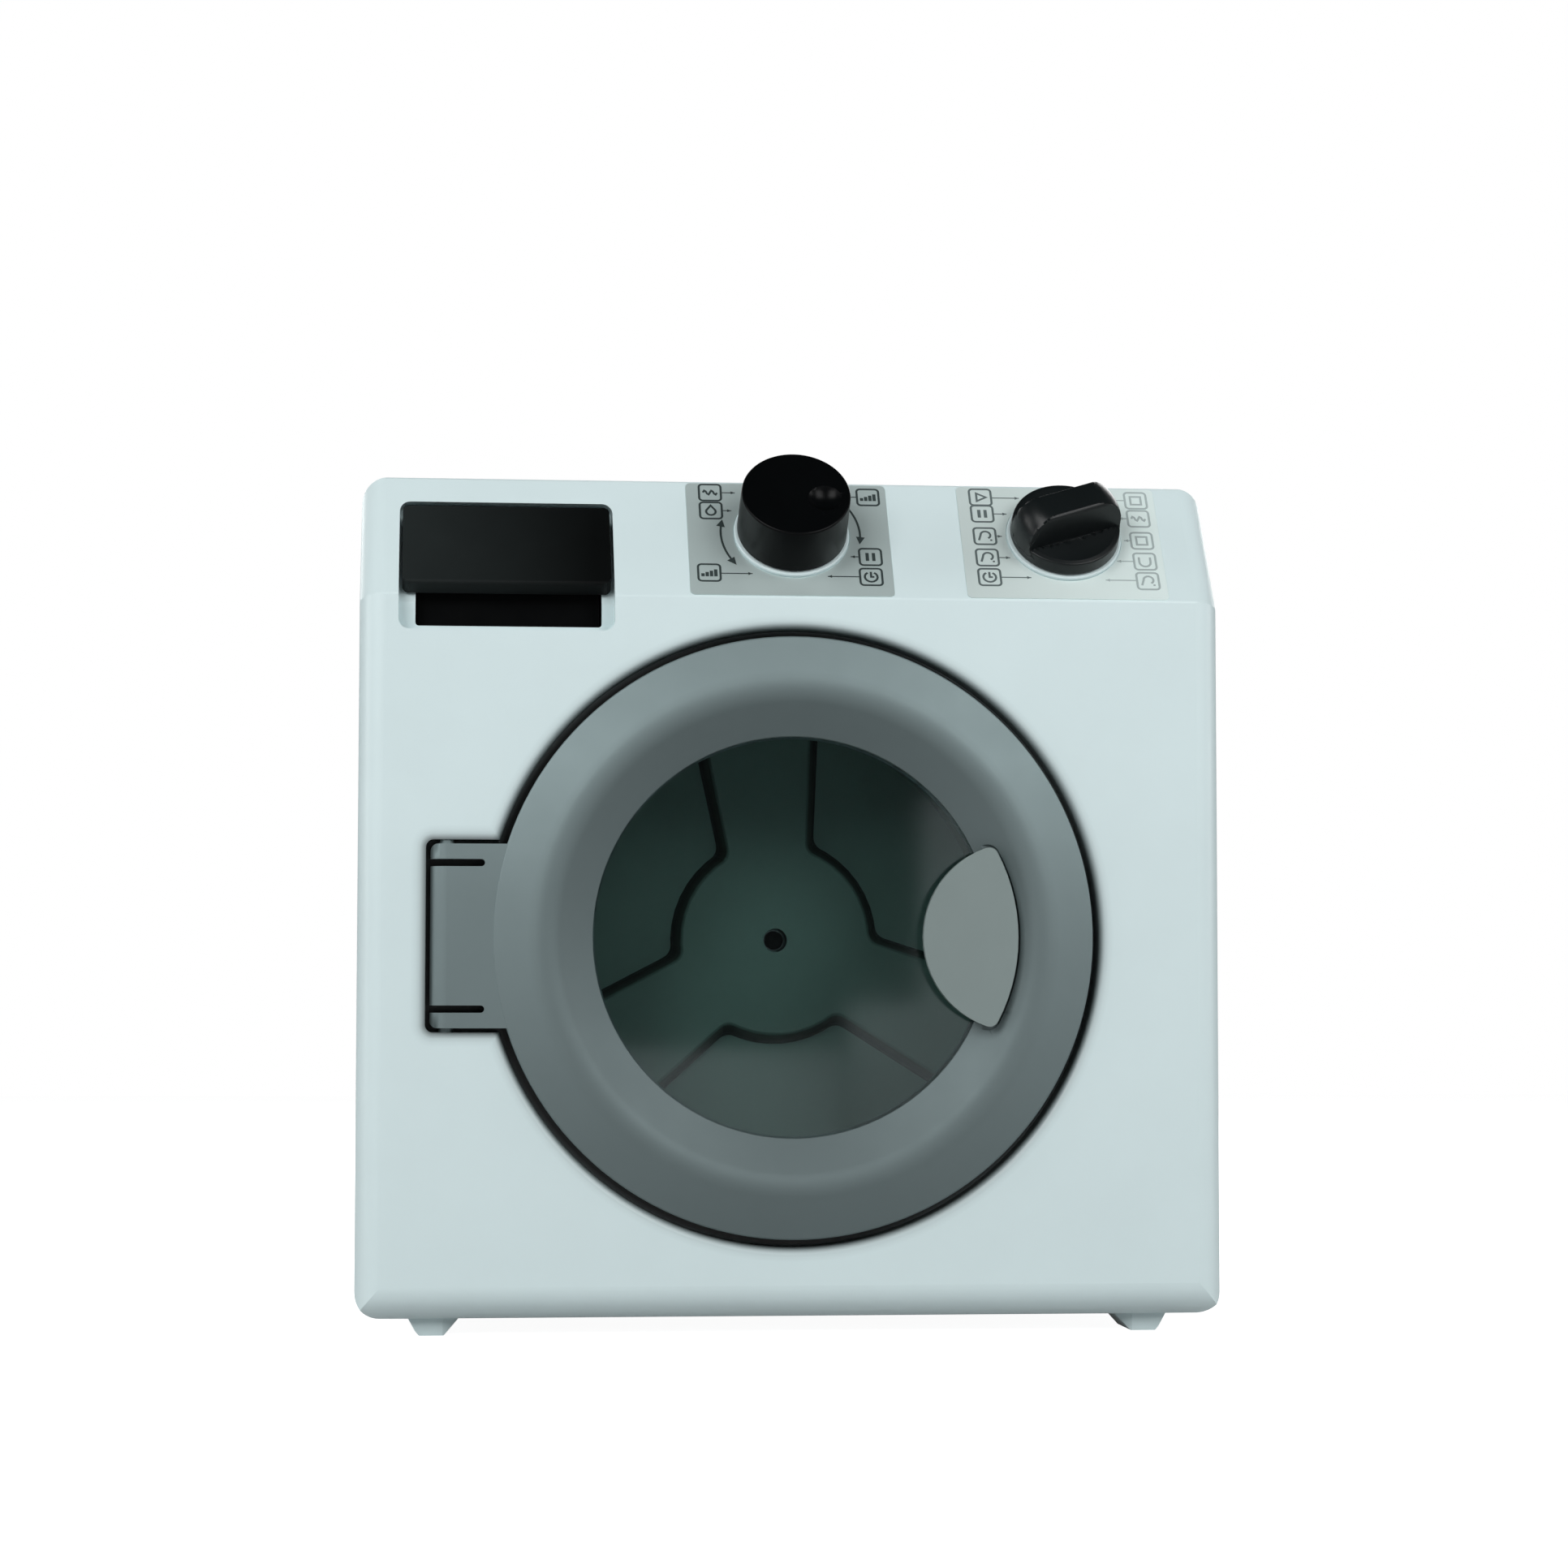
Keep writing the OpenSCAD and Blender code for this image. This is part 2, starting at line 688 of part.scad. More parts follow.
// Spring leaves and plates at both ends of the three cells
module battery_contacts() color(brass) machine() {
    leaf = 0.4;
    for (k = [-1:1], side = [-1, 1]) translate([side * bay_w / 2, 0, bay_z + k * bay_h / 3]) {
        translate([side > 0 ? -leaf : 0, bay_y + 3, -5]) cube([leaf, 11, 10]);
        translate([side > 0 ? -leaf : 0, bay_y + 5, -2.5])
            rotate([0, -side * 14, 0]) cube([leaf, 7, 6]);
    }
}

// ---------------------------------------------------------------- tub and drum

module tub() color(drum_grey) machine() on_front(0, door_z) {
    difference() {
        union() {
            slab(tub_front_y, tub_back_y + tub_wall) circle(tub_r + tub_wall, $fn = 96);
            slab(ear_y, ear_y + ear_t) tub_post_places() {
                circle(4.5, $fn = 32);
                translate([-ear_r + tub_r, -4.5]) square([ear_r - tub_r, 9]);
            }
            slab(tub_back_y, tub_back_y + tub_wall + 1.5) circle(9, $fn = 48);
            for (p = gearbox_posts) slab(tub_back_y + 1, plate_y) translate(p) circle(3.5, $fn = 32);
            slab(tub_back_y, tub_back_y + tub_wall + 1.8) translate(idler_at) circle(4, $fn = 32);
            for (a = [0:45:315]) rotate(a) slab(tub_back_y + 1, tub_back_y + tub_wall + 2)
                translate([tub_r - tub_rib - 2, -0.9]) square([tub_rib, 1.8]);
        }
        slab(tub_front_y - 1, tub_back_y) circle(tub_r, $fn = 96);
        slab(tub_back_y - 1, plate_y) circle(6, $fn = 48);
        slab(tub_back_y + 0.6, plate_y) translate(idler_at) circle(axle_r, $fn = 32);
        slab(ear_y - 1, ear_y + ear_t + 1) tub_post_places() circle(screw_hole_r, $fn = 32);
        for (p = gearbox_posts) slab(plate_y - 8, plate_y + 1) translate(p) circle(screw_r, $fn = 32);
    }
}

module tub_screws() color(steel) machine() on_front(0, door_z) {
    tub_post_places() translate([0, 0, -ear_y - ear_t]) mirror([0, 0, 1]) screw(10);
}

bush_front_y = tub_back_y - 1.6;
bush_back_y = tub_back_y + tub_wall + 2.3;

module drum_bearing() color(brass) machine() on_front(0, door_z) {
    difference() {
        union() {
            slab(bush_front_y, tub_back_y) circle(8, $fn = 48);
            slab(bush_front_y, bush_back_y) circle(6, $fn = 48);
        }
        slab(bush_front_y - 1, bush_back_y + 1) circle(shaft_r + running, $fn = 48);
    }
}

// Cup of the drum with a rolled rim
module drum() color(drum_grey) machine() on_front(0, door_z) {
    outer = drum_r + drum_wall;
    difference() {
        union() {
            slab(drum_front_y, drum_back_y) circle(outer, $fn = 96);
            slab(drum_front_y, drum_front_y + 2.4) circle(outer + 1.3, $fn = 96);
            slab(drum_back_y - 0.5, drum_back_y + 1.8) circle(10, $fn = 48);
        }
        slab(drum_front_y - 1, floor_y) circle(drum_r, $fn = 96);
        slab(drum_front_y, drum_back_y + 3) circle(shaft_r, $fn = 48);
    }
}

// Hub and three flared arms standing up from the drum's floor. Their sides run out in
// a soft slope, drawn as loops of points from the top face down to the floor.
star_wall_r = drum_r - 0.1;
arm_fillet = 4;
fillet_steps = 4;
hub_steps = 8;
wall_steps = 6;
star_levels = 7;

function turned(p, a) = [p.x * cos(a) - p.y * sin(a), p.x * sin(a) + p.y * cos(a)];

// One third of the outline, run out by d: an arm, then the hub up to the next arm
function star_third(d) = let (
        half_in = arm_in + d,
        half_out = arm_out + d,
        hub = hub_r + d,
        turn_in = asin(half_in / hub),
        turn_out = asin(half_out / star_wall_r),
        hub_step = (120 - 2 * turn_in) / hub_steps,
        low = from_polar(hub, -turn_in),
        high = from_polar(hub, turn_in),
        low_end = from_polar(star_wall_r, -turn_out),
        high_end = from_polar(star_wall_r, turn_out))
    concat(corner_points(from_polar(hub, -turn_in - hub_step), low, low_end, arm_fillet, fillet_steps),
        [for (k = [0:wall_steps]) from_polar(star_wall_r, -turn_out + 2 * turn_out * k / wall_steps)],
        corner_points(high_end, high, from_polar(hub, turn_in + hub_step), arm_fillet, fillet_steps),
        [for (k = [1:hub_steps - 1]) from_polar(hub, turn_in + hub_step * k)]);

function star_loop(d) = [for (k = [0:2], p = star_third(d)) turned(p, drum_rest_angle + 120 * k)];

module drum_star() color(drum_grey) machine() on_front(0, door_z) {
    loops = [for (k = [0:star_levels - 1]) star_loop(star_flare * k / (star_levels - 1))];
    n = len(loops[0]);
    top = star_levels * n;
    points = concat(
        [for (k = [0:star_levels - 1], p = loops[k])
            [p.x, p.y, -hub_y - star_h * (1 - cos(180 * k / (star_levels - 1))) / 2]],
        [[0, 0, -hub_y], [0, 0, -floor_y]]);
    faces = concat(
        [for (j = [0:n - 1]) [top, (j + 1) % n, j]],
        [for (k = [0:star_levels - 2], j = [0:n - 1]) [k * n + j, k * n + (j + 1) % n, (k + 1) * n + (j + 1) % n]],
        [for (k = [0:star_levels - 2], j = [0:n - 1]) [k * n + j, (k + 1) * n + (j + 1) % n, (k + 1) * n + j]],
        [for (j = [0:n - 1]) [top + 1, top - n + j, top - n + (j + 1) % n]]);
    difference() {
        polyhedron(points, faces);
        slab(hub_y - 1, floor_y + 1) circle(shaft_r + 0.45, $fn = 48);
    }
}

module drum_shaft() color(steel) machine() on_front(0, door_z) {
    slab(floor_y, plate_y + plate_t + 0.8) circle(shaft_r, $fn = 48);
}

module drum_screw() color(steel) machine() on_front(0, door_z) {
    slab(floor_y - 1.6, floor_y) circle(screw_head_r, $fn = 32);
}

// ---------------------------------------------------------------- gears

pressure = 20;
function involute(a) = tan(a) * 180 / PI - a;
function tooth_half(rb, r, pitch_half) = pitch_half + involute(pressure) - involute(acos(min(1, rb / r)));

// Spur gear outline with a tooth on the X axis
function gear_points(teeth) = let (
        rp = gear_module * teeth / 2,
        rb = rp * cos(pressure),
        tip = rp + 0.85 * gear_module,
        root = rp - 1.2 * gear_module,
        low = max(rb, root + 0.1),
        pitch_half = 90 / teeth - 0.06 * 180 / PI / rp,
        radii = [low, rp, tip])
    [for (k = [0:teeth - 1]) let (c = 360 * k / teeth) each concat(
        [from_polar(root, c - tooth_half(rb, low, pitch_half) - 10 / teeth)],
        [for (r = radii) from_polar(r, c - tooth_half(rb, r, pitch_half))],
        [for (j = [2:-1:0]) from_polar(radii[j], c + tooth_half(rb, radii[j], pitch_half))],
        [from_polar(root, c + tooth_half(rb, low, pitch_half) + 10 / teeth)])];

module gear(teeth, phase, y0, y1) {
    slab(y0, y1) rotate(phase) polygon(gear_points(teeth));
}

module drum_gear() color(cream) machine() on_front(0, door_z) {
    difference() {
        union() {
            gear(drum_teeth, idler_angle, gear_y, gear_y + gear_t);
            slab(gear_y - 0.6, gear_y + gear_t + 4) circle(7, $fn = 48);
        }
        slab(gear_y - 2, gear_y + gear_t + 5) circle(shaft_r, $fn = 48);
        for (face = [[gear_y - 0.1, gear_y + 2], [gear_y + gear_t - 2, gear_y + gear_t + 0.1]])
            slab(face[0], face[1]) ring_shape(drum_gear_r - 4, 8.5);
        for (a = [0:60:300]) rotate(a) slab(gear_y - 1, gear_y + gear_t + 1)
            translate([(drum_gear_r + 5) / 2, 0]) circle(5.5, $fn = 48);
    }
}

module idler_gear() color(cream) machine() on_front(0, door_z) translate(idler_at) {
    difference() {
        union() {
            gear(pinion_teeth, idler_angle + 180 + 180 / pinion_teeth, gear_y - 0.4, idler_big_y + 0.5);
            gear(idler_teeth, motor_angle, idler_big_y, idler_big_y + idler_big_t);
            slab(idler_big_y, plate_y - 0.6) circle(3.6, $fn = 32);
        }
        slab(gear_y - 1, plate_y) circle(axle_r + running, $fn = 32);
        for (a = [0:72:288]) rotate(a) slab(idler_big_y - 1, idler_big_y + idler_big_t + 1)
            translate([11.3, 0]) circle(3.6, $fn = 32);
    }
}

module idler_axle() color(steel) machine() on_front(0, door_z) translate(idler_at) {
    slab(tub_back_y + 0.6, plate_y + plate_t) circle(axle_r, $fn = 32);
}

motor_shaft_front = idler_big_y - 0.6;

module motor_pinion() color(brass) machine() on_front(0, door_z) translate(motor_at) {
    difference() {
        gear(pinion_teeth, motor_angle + 180 + 180 / pinion_teeth, idler_big_y - 0.3, idler_big_y + idler_big_t + 0.8);
        slab(idler_big_y - 1, plate_y) circle(motor_shaft_r, $fn = 32);
    }
}

module motor_shaft() color(steel) machine() on_front(0, door_z) translate(motor_at) {
    slab(motor_shaft_front, plate_y + plate_t + 8) circle(motor_shaft_r, $fn = 32);
}

motor_y = plate_y + plate_t;
motor_screw_x = 5.6;

module motor() color(steel) machine() on_front(0, door_z) translate(motor_at) {
    difference() {
        union() {
            slab(motor_y, motor_y + motor_len) intersection() {
                circle(motor_r, $fn = 64);
                square([2 * motor_r, 2 * motor_flat], center = true);
            }
            slab(motor_y - plate_t + 0.3, motor_y) circle(3, $fn = 32);
            slab(motor_y + motor_len, motor_y + motor_len + 2) circle(4, $fn = 32);
            for (s = [-1, 1]) slab(motor_y + motor_len, motor_y + motor_len + 4)
                translate([s * 6.5, 0]) square([2.4, 0.6], center = true);
        }
        slab(motor_y - plate_t, motor_y + 9) circle(motor_shaft_r + running, $fn = 32);
        for (s = [-1, 1]) slab(motor_y - 1, motor_y + 4) translate([s * motor_screw_x, 0]) circle(screw_r, $fn = 32);
    }
}

module motor_screws() color(steel) machine() on_front(0, door_z) translate(motor_at) {
    for (s = [-1, 1]) translate([s * motor_screw_x, 0, -plate_y]) cylinder(h = 1.2, r = 2, $fn = 32);
    for (s = [-1, 1]) translate([s * motor_screw_x, 0, -plate_y - 5]) cylinder(h = 5, r = screw_r, $fn = 32);
}

// Back plate of the gearbox, with ribs and a cup round the shaft end
module gearbox_plate() color(grey) machine() on_front(0, door_z) {
    difference() {
        union() {
            slab(plate_y, plate_y + plate_t) polygon(rounded([gearbox_posts[0] - plate_margin * [1, 1],
                gearbox_posts[1] + plate_margin * [1, -1], gearbox_posts[3] + plate_margin * [1, 0],
                motor_at + [motor_r + 6, motor_r + 4], motor_at + [-motor_r - 6, motor_r + 4],
                gearbox_posts[2] + plate_margin * [-1, 0.9]], [6, 6, 7, 6, 6, 7]));
            slab(plate_y, plate_y + plate_t + 2.5) circle(7, $fn = 48);
            for (a = [195, 255, 285, 345]) rotate(a) slab(plate_y + 1, plate_y + plate_t + 1.6)
                translate([6, -0.8]) square([22, 1.6]);
            slab(plate_y, plate_y + plate_t + 1.5) translate(idler_at) circle(4, $fn = 32);
        }
        slab(plate_y - 1, plate_y + plate_t + 1.2) circle(shaft_r + running, $fn = 48);
        slab(plate_y - 1, plate_y + plate_t) translate(idler_at) circle(axle_r, $fn = 32);
        slab(plate_y - 1, plate_y + plate_t + 1) translate(motor_at) circle(3, $fn = 32);
        for (s = [-1, 1]) slab(plate_y - 1, plate_y + plate_t + 1)
            translate(motor_at + [s * motor_screw_x, 0]) circle(screw_r, $fn = 32);
        for (p = gearbox_posts) slab(plate_y - 1, plate_y + plate_t + 1) translate(p) circle(screw_hole_r, $fn = 32);
    }
}

module gearbox_screws() color(steel) machine() on_front(0, door_z) {
    for (p = gearbox_posts) translate([p.x, p.y, -plate_y - plate_t]) mirror([0, 0, 1]) screw(9);
}

// ---------------------------------------------------------------- door

door_post_angles = [35, 145, 215, 325];

// Half section of the ring: outer skirt, sloping band, crest and inner cone
function ring_section() = concat(
    rounded([[door_r, -ring_back], [door_r, ring_edge_out], [crest_r, crest_out], [window_r, -1.8],
        [window_r, -window_front], [window_r + 2.8, -window_front], [window_r + 4, -1.7],
        [window_r + 8.5, -1.7], [crest_r, crest_out - ring_t - 0.5],
        [door_r - ring_t, ring_edge_out - ring_t], [door_r - ring_t, -ring_back]],
        [0.3, 0.7, 10, 0.4, 0.1, 0.1, 0.4, 2, 4, 0.5, 0.1]));

function arc(centre, r, a0, a1, steps) = [for (k = [0:steps - 1]) centre + from_polar(r, a0 + (a1 - a0) * k / steps)];

// Leaf outline between two arcs with rounded tips, grown by g on every side
module grip_outline(g) {
    a = [grip_out - grip_out_r, 0];
    b = [grip_in + grip_in_r, 0];
    ra = grip_out_r - grip_tip;
    rb = grip_in_r - grip_tip;
    far = (ra * ra - rb * rb + (b.x - a.x) * (b.x - a.x)) / 2 / (b.x - a.x);
    tip = a + [far, sqrt(ra * ra - far * far)];
    turn_a = atan2(tip.y, tip.x - a.x);
    turn_b = atan2(tip.y, tip.x - b.x);
    polygon(concat(
        arc(a, grip_out_r + g, -turn_a, turn_a, 14),
        arc(tip, grip_tip + g, turn_a, turn_b, 6),
        arc(b, grip_in_r + g, turn_b, 360 - turn_b, 24),
        arc([tip.x, -tip.y], grip_tip + g, 360 - turn_b, 360 - turn_a, 6)));
}

module hinge_tab() {
    knuckle_x = -hinge_x;
    slot_x = -hinge_x + 9.4;
    difference() {
        union() {
            intersection() {
                union() {
                    translate([knuckle_x, -tab_h / 2, -hinge_y]) rotate([-90, 0, 0])
                        cylinder(h = tab_h, r = knuckle_r, $fn = 64);
                    slab(-ring_edge_out, hinge_y) translate([knuckle_x, -tab_h / 2])
                        square([hinge_x - door_r + 7, tab_h]);
                }
                slab(-ring_edge_out - 1, 2 * knuckle_r) rounded_box(knuckle_x - knuckle_r, -tab_h / 2,
                    13 - door_r, tab_h / 2, 2.1);
            }
            for (side = [0, 1]) mirror([0, side, 0]) translate([knuckle_x, tab_h / 2 - 1, -hinge_y])
                rotate([-90, 0, 0]) cylinder(h = pin_len + 1, r = pin_r, $fn = 48);
        }
        for (side = [-1, 1]) slab(-ring_edge_out - 2, 2 * knuckle_r) {
            translate([knuckle_x - knuckle_r - 1, side * slot_z - finger_slot / 2])
                square([slot_x - knuckle_x + knuckle_r + 1, finger_slot]);
            translate([slot_x, side * slot_z]) circle(finger_slot / 2, $fn = 32);
        }
        slab(-ring_edge_out - 2, 2 * knuckle_r) circle(door_r - 1, $fn = 96);
    }
}

grip_foot_r = window_r + 2.6;
grip_peg_r = 0.9;
grip_pegs = [for (s = [-1, 1]) from_polar(grip_foot_r + 1.3, s * 9)];

module door_ring() color(grey) machine() on_front(0, door_z) {
    difference() {
        union() {
            rotate_extrude($fn = 128) polygon(ring_section());
            hinge_tab();
            for (a = door_post_angles) rotate(a) translate([door_post_r, 0])
                slab(-crest_out + 3.6, window_back) circle(3, $fn = 32);
        }
        slab(-crest_out - 1, -grip_floor) grip_outline(grip_gap);
        for (a = door_post_angles) rotate(a) translate([door_post_r, 0])
            slab(-crest_out + 4.6, window_back + 1) circle(screw_r, $fn = 32);
        for (p = grip_pegs) slab(-crest_out, window_front) translate(p) circle(grip_peg_r, $fn = 32);
    }
}

module door_window() color("#8fa3a0", 0.35) machine() on_front(0, door_z) {
    slab(window_front, window_back) circle(window_r + 2.6, $fn = 96);
}

module door_backing() color(grey) machine() on_front(0, door_z) {
    difference() {
        union() {
            slab(window_back, ring_back) ring_shape(door_r - ring_t - 0.1, window_r - 0.5);
            slab(window_front + 0.4, window_back + 0.5) ring_shape(window_r + 4.4, window_r + 2.7);
        }
        for (a = door_post_angles) rotate(a) translate([door_post_r, 0])
            slab(window_back - 1, ring_back + 1) circle(screw_hole_r, $fn = 32);
    }
}

module door_screws() color(steel) machine() on_front(0, door_z) {
    for (a = door_post_angles) rotate(a) translate([door_post_r, 0, -ring_back]) mirror([0, 0, 1])
        union() {
            cylinder(h = 1.2, r = screw_head_r, $fn = 32);
            translate([0, 0, -6]) cylinder(h = 6, r = screw_r, $fn = 32);
        }
}

// Leaf-shaped grip: a flat plate over the window's edge, with a foot and two pegs
module door_grip() color(grey) machine() on_front(0, door_z) {
    slab(-grip_front, -grip_back) grip_outline(0);
    slab(-grip_back - 0.2, -grip_floor) difference() {
        grip_outline(-1.2);
        circle(grip_foot_r, $fn = 96);
    }
    for (p = grip_pegs) slab(-grip_floor - 0.2, window_front - 0.5) translate(p) circle(grip_peg_r, $fn = 32);
}

hook_len = 9;

// Latch hook behind the door's free side: a prong with a barbed end
module door_hook() color(grey) machine() on_front(0, door_z) {
    translate([hook_x, hook_w / 2, 0]) rotate([90, 0, 0]) linear_extrude(hook_w)
        polygon([[-1, -ring_back], [-1, -ring_back - hook_len], [0.2, -ring_back - hook_len - 1],
            [2.2, -ring_back - hook_len + 1.6], [2.2, -ring_back - hook_len + 2.4],
            [1, -ring_back - hook_len + 3.4], [1, -ring_back]]);
}

slot_x0 = hook_x - 2.2;
slot_x1 = hook_x + 3.4;

module latch_slot() {
    on_front(0, door_z) slab(seat_y - 1, seat_y + wall + 1)
        rounded_box(slot_x0, -hook_w / 2 - 1, slot_x1, hook_w / 2 + 1, 0.8);
}

catch_y0 = seat_y + wall;
catch_y1 = catch_y0 + 9;
catch_ear_z = 10.5;
catch_ear_x = hook_x + 1;

module catch_posts() {
    for (s = [-1, 1]) along_y(seat_y + 1, catch_y0 + 3)
        translate([catch_ear_x, door_z + s * catch_ear_z]) circle(3, $fn = 32);
}

module catch_pilot_holes() {
    for (s = [-1, 1]) along_y(seat_y + 1, catch_y0 + 4)
        translate([catch_ear_x, door_z + s * catch_ear_z]) circle(screw_r, $fn = 32);
}

// Catch behind the seat: an open frame with a spring leaf beside the hook
module door_catch() color(black) machine() {
    difference() {
        union() {
            along_y(catch_y0, catch_y1) rounded_at(hook_x + 0.8, door_z, 10, 14, 1);
            for (s = [-1, 1]) along_y(catch_y0 + 3, catch_y0 + 5) {
                translate([catch_ear_x, door_z + s * catch_ear_z]) circle(3, $fn = 32);
                translate([catch_ear_x - 3, door_z + (s > 0 ? 5 : -catch_ear_z)]) square([6, catch_ear_z - 5]);
            }
        }
        along_y(catch_y0 - 1, catch_y1 - 1.4) rounded_at(hook_x + 0.6, door_z, 6.6, 10.4, 0.6);
        for (s = [-1, 1]) along_y(catch_y0, catch_y1) translate([catch_ear_x, door_z + s * catch_ear_z])
            circle(screw_hole_r, $fn = 32);
    }
    along_y(catch_y0 + 1, catch_y1 - 1) translate([hook_x + 3.1, door_z - 3]) square([0.8, 6]);
}

module rounded_at(x, z, w, h, r) {
    rounded_box(x - w / 2, z - h / 2, x + w / 2, z + h / 2, r);
}

module catch_screws() color(steel) machine() {
    for (s = [-1, 1]) translate([catch_ear_x, catch_y0 + 5, door_z + s * catch_ear_z]) rotate([-90, 0, 0]) screw(6);
}

// ---------------------------------------------------------------- knobs

module knob_left() color(black) machine() on_panel(knob_left_x, knob_s) {
    top = knob_left_h + knob_lift;
    dimple = 6.6;
    difference() {
        rotate_extrude($fn = 96) polygon(rounded([[0, knob_lift], [knob_r, knob_lift],
            [knob_r - knob_draft, top], [0, top]], [0.01, 0.4, knob_rim, 0.01]));
        translate([0, 0, knob_lift - 1]) cylinder(h = 10, r = spindle_r, $fn = 48);
        rotate(-12) translate([8.2, 0, top + 4.6]) sphere(dimple, $fn = 64);
        translate([0, 0, knob_lift - 1]) difference() {
            cylinder(h = knob_left_h - 1.4, r = knob_r - knob_draft - 2, $fn = 64);
            cylinder(h = knob_left_h, r = spindle_r + 2.4, $fn = 48);
            for (a = [0:60:300]) rotate(a) translate([0, -0.7, -1]) cube([knob_r, 1.4, knob_left_h]);
        }
    }
}

// Disc with a raised grip bar across it
module knob_right() color(black) machine() on_panel(knob_right_x, knob_s) rotate(knob_bar_turn) {
    top = knob_right_h + knob_lift;
    disc = knob_disc_t + knob_lift;
    difference() {
        union() {
            rotate_extrude($fn = 96) polygon(rounded([[0, knob_lift], [knob_r, knob_lift],
                [knob_r - 0.2, disc], [knob_r - 1.6, disc + 0.3], [0, disc - 0.5]], [0.01, 0.4, 0.5, 0.5, 0.01]));
            intersection() {
                rotate_extrude($fn = 96) polygon(rounded([[0, knob_lift + 1], [knob_r - 0.05, knob_lift + 1],
                    [knob_r - 0.3, top], [0, top]], [0.01, 0.4, bar_end_r, 0.01]));
                rotate([90, 0, 90]) translate([0, 0, -knob_r]) linear_extrude(2 * knob_r)
                    polygon(rounded([[-bar_half - 2.6, disc - 2], [bar_half + 2.6, disc - 2],
                        [bar_half + 0.9, disc], [bar_half, top], [-bar_half, top], [-bar_half - 0.9, disc]],
                        [0.1, 0.1, 1.6, 1.2, 1.2, 1.6], 6));
            }
        }
        translate([0, 0, knob_lift - 1]) cylinder(h = 10, r = spindle_r, $fn = 48);
    }
}

spindle_in = wall + switch_t - 1;

module spindle(x) {
    on_panel(x, knob_s) translate([0, 0, -spindle_in])
        cylinder(h = spindle_in + knob_lift + 9, r = spindle_r, $fn = 48);
}

module spindle_left() color(steel) machine() {
    spindle(knob_left_x);
}

module spindle_right() color(steel) machine() {
    spindle(knob_right_x);
}

// Rotary switch under the panel: square case, nose in the panel's hole, three tags
module rotary_switch(x) {
    on_panel(x, knob_s) difference() {
        union() {
            translate([-switch_size / 2, -switch_size / 2, -wall - switch_t]) cube([switch_size, switch_size, switch_t]);
            for (k = [-1:1]) translate([k * 5 - 1, -switch_size / 2 - 3, -wall - switch_t + 1]) cube([2, 4, 0.6]);
        }
        translate([0, 0, -spindle_in]) cylinder(h = switch_t + 2, r = spindle_r + running, $fn = 48);
    }
}

module switch_left() color(grey) machine() {
    rotary_switch(knob_left_x);
}

module switch_right() color(grey) machine() {
    rotary_switch(knob_right_x);
}

module panel_label(x) {
    on_panel(x, 0) linear_extrude(label_t) difference() {
        rounded_box(-label_w / 2 - label_shift, label_s0, label_w / 2 - label_shift, label_s1, 1.4);
        translate([0, knob_s]) circle(boss_r + 0.2, $fn = 96);
    }
}

module label_left() color(silver) machine() {
    panel_label(knob_left_x);
}

module label_right() color(silver) machine() {
    panel_label(knob_right_x);
}

// ---------------------------------------------------------------- drawer

// Front plate lying in the panel's slope, its lower edge square to the panel
module drawer_front() color(black) machine() {
    intersection() {
        on_panel(drawer_x, 0) translate([0, 0, -drawer_plate_t]) linear_extrude(drawer_plate_t)
            rounded_box(plate_gap - drawer_w / 2, plate_s0, drawer_w / 2 - plate_gap, plate_s1, 2.4);
        on_panel(drawer_x, 0) rotate([90, 0, 90]) translate([0, 0, -drawer_w / 2]) linear_extrude(drawer_w)
            polygon(rounded([[plate_s0, -drawer_plate_t], [plate_s1, -drawer_plate_t], [plate_s1, 0],
                [plate_s0, 0]], [0.4, 0.1, 0.8, 0.8], 5));
    }
}

// Side outline of the tray: its front follows the back of the plate
plate_back_y = drawer_plate_t / cos(panel_tilt);
function plate_back_z(y) = bend_z + (y - plate_back_y) / tan(panel_tilt);
function plate_back_at(z) = plate_back_y + (z - bend_z) * tan(panel_tilt);

function tray_outline(i) = [[tray_front_y + i, tray_z0 + i], [drawer_back_y - i, tray_z0 + i],
    [drawer_back_y - i, tray_z1 + (i > 0 ? 5 : 0)], [plate_back_at(tray_z1) + i * 1.2, tray_z1 + (i > 0 ? 5 : 0)],
    [plate_back_at(tray_z1) + i * 1.2, tray_z1], [tray_front_y + i, plate_back_z(tray_front_y) - i * 0.3]];

module drawer_tray() color(black) machine() {
    difference() {
        along_x(throat_x - tray_w / 2, throat_x + tray_w / 2) polygon(tray_outline(0));
        along_x(throat_x - tray_w / 2 + tray_wall, throat_x + tray_w / 2 - tray_wall) polygon(tray_outline(tray_wall));
    }
}

housing_z0 = throat_z0 - housing_t + tray_gap / 2;
housing_z1 = throat_z1 + housing_t - tray_gap / 2;

// Tunnel that the tray slides in, with its front cut to the back of the recess
module drawer_housing() color(black) machine() {
    intersection() {
        difference() {
            along_y(sill_r, housing_back_y + housing_t) translate([throat_x, 0]) polygon(rounded(
                box_points(-throat_w / 2 - housing_t, housing_z0, throat_w / 2 + housing_t, housing_z1), [1, 1, 1, 1], 3));
            along_y(0, housing_back_y) translate([throat_x, 0]) polygon(
                box_points(-throat_w / 2, housing_z0 + housing_t, throat_w / 2, housing_z1 - housing_t));
            for (p = drawer_boss_places) translate([p.x, p.y, housing_z1 - housing_t - 1]) {
                cylinder(h = housing_t + 2, r = screw_hole_r, $fn = 32);
                cylinder(h = 1 + drawer_head_t, r = screw_head_r + 0.2, $fn = 32);
            }
        }
        along_x(-half_w, half_w) side_outline(drawer_sink + 2);
    }
}

drawer_boss_places = [for (s = [-1, 1]) [throat_x + s * 13, drawer_back_y - 14]];
drawer_head_t = 0.8;

